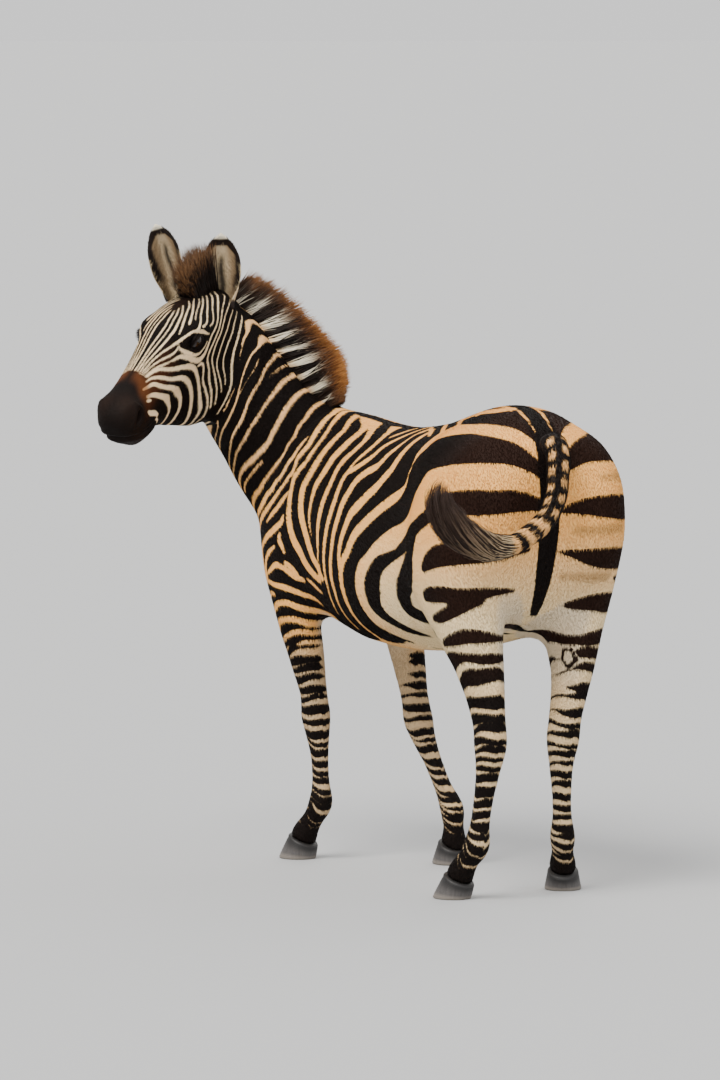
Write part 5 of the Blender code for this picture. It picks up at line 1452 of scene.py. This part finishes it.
def build_eye(name, side, finish, lash_finish):
    rng = np.random.default_rng(SEED + 6)
    centre, out, front, up = eye_frame(side)
    bm = bmesh.new()
    bmesh.ops.create_uvsphere(bm, u_segments=48, v_segments=32, radius=BALL_RADIUS)
    mesh = bpy.data.meshes.new(name + "_ball")
    bm.to_mesh(mesh)
    bm.free()
    x, y, z = points_of(mesh).T
    bulge = 1 + 0.045 * hump(np.hypot(x, y), 0.0, 0.012) * (z > 0)
    move_points(mesh, centre + (np.stack((x, y, z), 1) * bulge[:, None]) @ (front, up, out))
    if np.dot(np.cross(front, up), out) < 0:
        mesh.flip_normals()
    keep(mesh, "iris_t", np.where(z > 0, x, 0.1))
    keep(mesh, "iris_u", y)
    new_piece(name + "_ball", mesh, (name,), finish)
    far = np.linspace(-0.85, 0.95, LASHES)
    t, tall = far * FISSURE_LENGTH, LID_RISE * np.sqrt(1 - far ** 2)
    w = np.sqrt((BALL_RADIUS + 0.0022) ** 2 - t ** 2 - tall ** 2)
    root = centre + np.stack((t, tall, w), 1) @ (front, up, out)
    way = normed(out - up * 0.25 + front * (far * 0.35)[:, None] + rng.normal(0, 0.08, (LASHES, 3)))
    length = 0.014 * (0.6 + 0.5 * rng.random(LASHES))
    width = np.full(LASHES, LASH_WIDTH)
    points, faces, level, size = strands(root, way, up, length, width, up * 0.35 - out * 0.05)
    tone = np.tile(BLACK_HAIR, (len(points), 1))
    locks_piece(name + "_lashes", "hair", (), lash_finish,
                (points, faces, tone, lock_map(np.arange(LASHES) / LASHES, level, size)))


def eye_finish():
    eye = Finish("wet_eye", roughness=0.12, coat_weight=0.5, coat_roughness=0.03, specular_ior_level=0.3)
    t, u = eye.attribute("iris_t"), eye.attribute("iris_u")
    far = (t * t + u * u).math("SQRT")
    pupil = ((t / 0.0078) * (t / 0.0078) + (u / 0.0038) * (u / 0.0038)).ramp(1.25, 0.85)
    iris = eye.mix(eye.noise(240.0, 3.0), srgb(46, 26, 16), srgb(20, 11, 8))
    ball = eye.mix(far.ramp(0.0122, 0.0150), iris, srgb(16, 10, 9))
    eye.set("Base Color", eye.mix(pupil, ball, (0.002, 0.002, 0.003)))
    return eye


# ---------------------------------------------------------------- hooves
HOOVES = {  # ankle, sole centre, and the way the toe points in degrees
    "hoof_fore_left": ((0.424, 0.126), (0.440, 0.134), 26),
    "hoof_fore_right": ((0.119, -0.174), (0.132, -0.174), 4),
    "hoof_hind_left": ((-0.518, 0.158), (-0.498, 0.166), 20),
    "hoof_hind_right": ((-0.492, -0.168), (-0.476, -0.177), -26),
}
HOOF_SIDES = 56
GROWTH_RINGS = 12


def hoof_levels():
    """Share of the height, length, width and height over the floor, from the sole to the soft top band."""
    levels = [(0.0, 0.104, 0.090, 0.0), (0.0, 0.109, 0.095, 0.0012), (0.02, 0.112, 0.098, 0.0045)]
    for k in range(1, GROWTH_RINGS + 1):
        f = k / GROWTH_RINGS
        ripple = 0.0007 * (-1) ** k * (1 - 0.3 * f)
        levels.append((f, 0.112 - 0.026 * f + ripple, 0.098 - 0.016 * f + ripple, 0.0045 + 0.0412 * f))
    return levels + [(1.0, 0.0865, 0.0825, 0.0475), (1.0, 0.084, 0.080, 0.0507), (1.0, 0.078, 0.074, 0.0535)]


def build_hoof(name, ankle, sole, yaw, finish):
    """A horn wall with its growth rings, a flat sole and the soft band at its top."""
    turn = np.array(Matrix.Rotation(math.radians(yaw), 2))
    angle = 2 * math.pi * np.arange(HOOF_SIDES) / HOOF_SIDES
    c, s = np.cos(angle), np.sin(angle)
    rings, growth = [], []
    for n, (f, length, width, height) in enumerate(hoof_levels()):
        middle = np.array(sole) * (1 - f) + np.array(ankle) * f - ORIGIN[:2]
        ahead = length / 2 * c * np.where(c > 0, 1.0, 0.86)
        cleft = 0.0035 * hump(angle, math.pi, 0.22) * (1 - f)
        flat = np.stack((ahead + cleft, width / 2 * s * (1 + 0.06 * c)), 1) @ turn.T + middle
        rings.append(np.column_stack((flat, height + 0.42 * f * ahead)))
        growth.append(f * 0.9 + 0.1 * (n > GROWTH_RINGS + 2))
    points = np.vstack((*rings, rings[0].mean(axis=0), rings[-1].mean(axis=0)))
    mesh = mesh_of(name + "_horn", points, tube_faces(len(rings), HOOF_SIDES))
    keep(mesh, "growth", np.append(np.repeat(growth, HOOF_SIDES), (0, 1)))
    new_piece(name + "_horn", mesh, (name,), finish)


def hoof_finish():
    horn = Finish("horn", roughness=0.5)
    growth = horn.attribute("growth")
    streaks = horn.noise(1.0, 4.0, horn.stretched(240.0, 240.0, 12.0))
    rings = (growth * 75.0 + horn.noise(18.0) * 5.0).math("SINE")
    colour = horn.mix(streaks, srgb(44, 41, 41), srgb(98, 94, 92))
    colour = horn.mix(rings.ramp(0.2, 1.0) * 0.35, colour, srgb(60, 54, 52))
    colour = horn.mix(growth.ramp(0.30, 0.85) * 0.95, colour, srgb(15, 12, 11))
    colour = horn.mix(growth.ramp(0.30, 0.02) * 0.45, colour, srgb(150, 140, 128))
    horn.set("Base Color", colour)
    horn.set("Roughness", 0.42 + streaks * 0.3)
    horn.bump(streaks * 0.5 + rings * 0.25, 0.5, 0.0012)
    return horn


def main():
    make_studio(*make_camera())
    skin = shape_skin()
    unwrap(skin)
    marks = coat_markings(points_of(skin))
    for mark, values in zip(("depth", "light", "dark"), marks):
        keep(skin, mark, values)
    new_piece("skin", skin, FLESH, coat_finish("skin_coat", 1.0))
    build_coat(skin, marks, coat_finish("tuft_coat", 0.3))
    hair = hair_finish("long_hair")
    for build in (build_mane, build_forelock, build_tail, build_tuft):
        build(hair)
    ear_hair = hair_finish("ear_hair", 0.2)
    for ear in EARS:
        build_ear(*ear, ear_hair)
    wet = eye_finish()
    build_eye("eye_left", 1, wet, hair)
    build_eye("eye_right", -1, wet, hair)
    horn = hoof_finish()
    for name, shape in HOOVES.items():
        build_hoof(name, *shape, horn)


main()
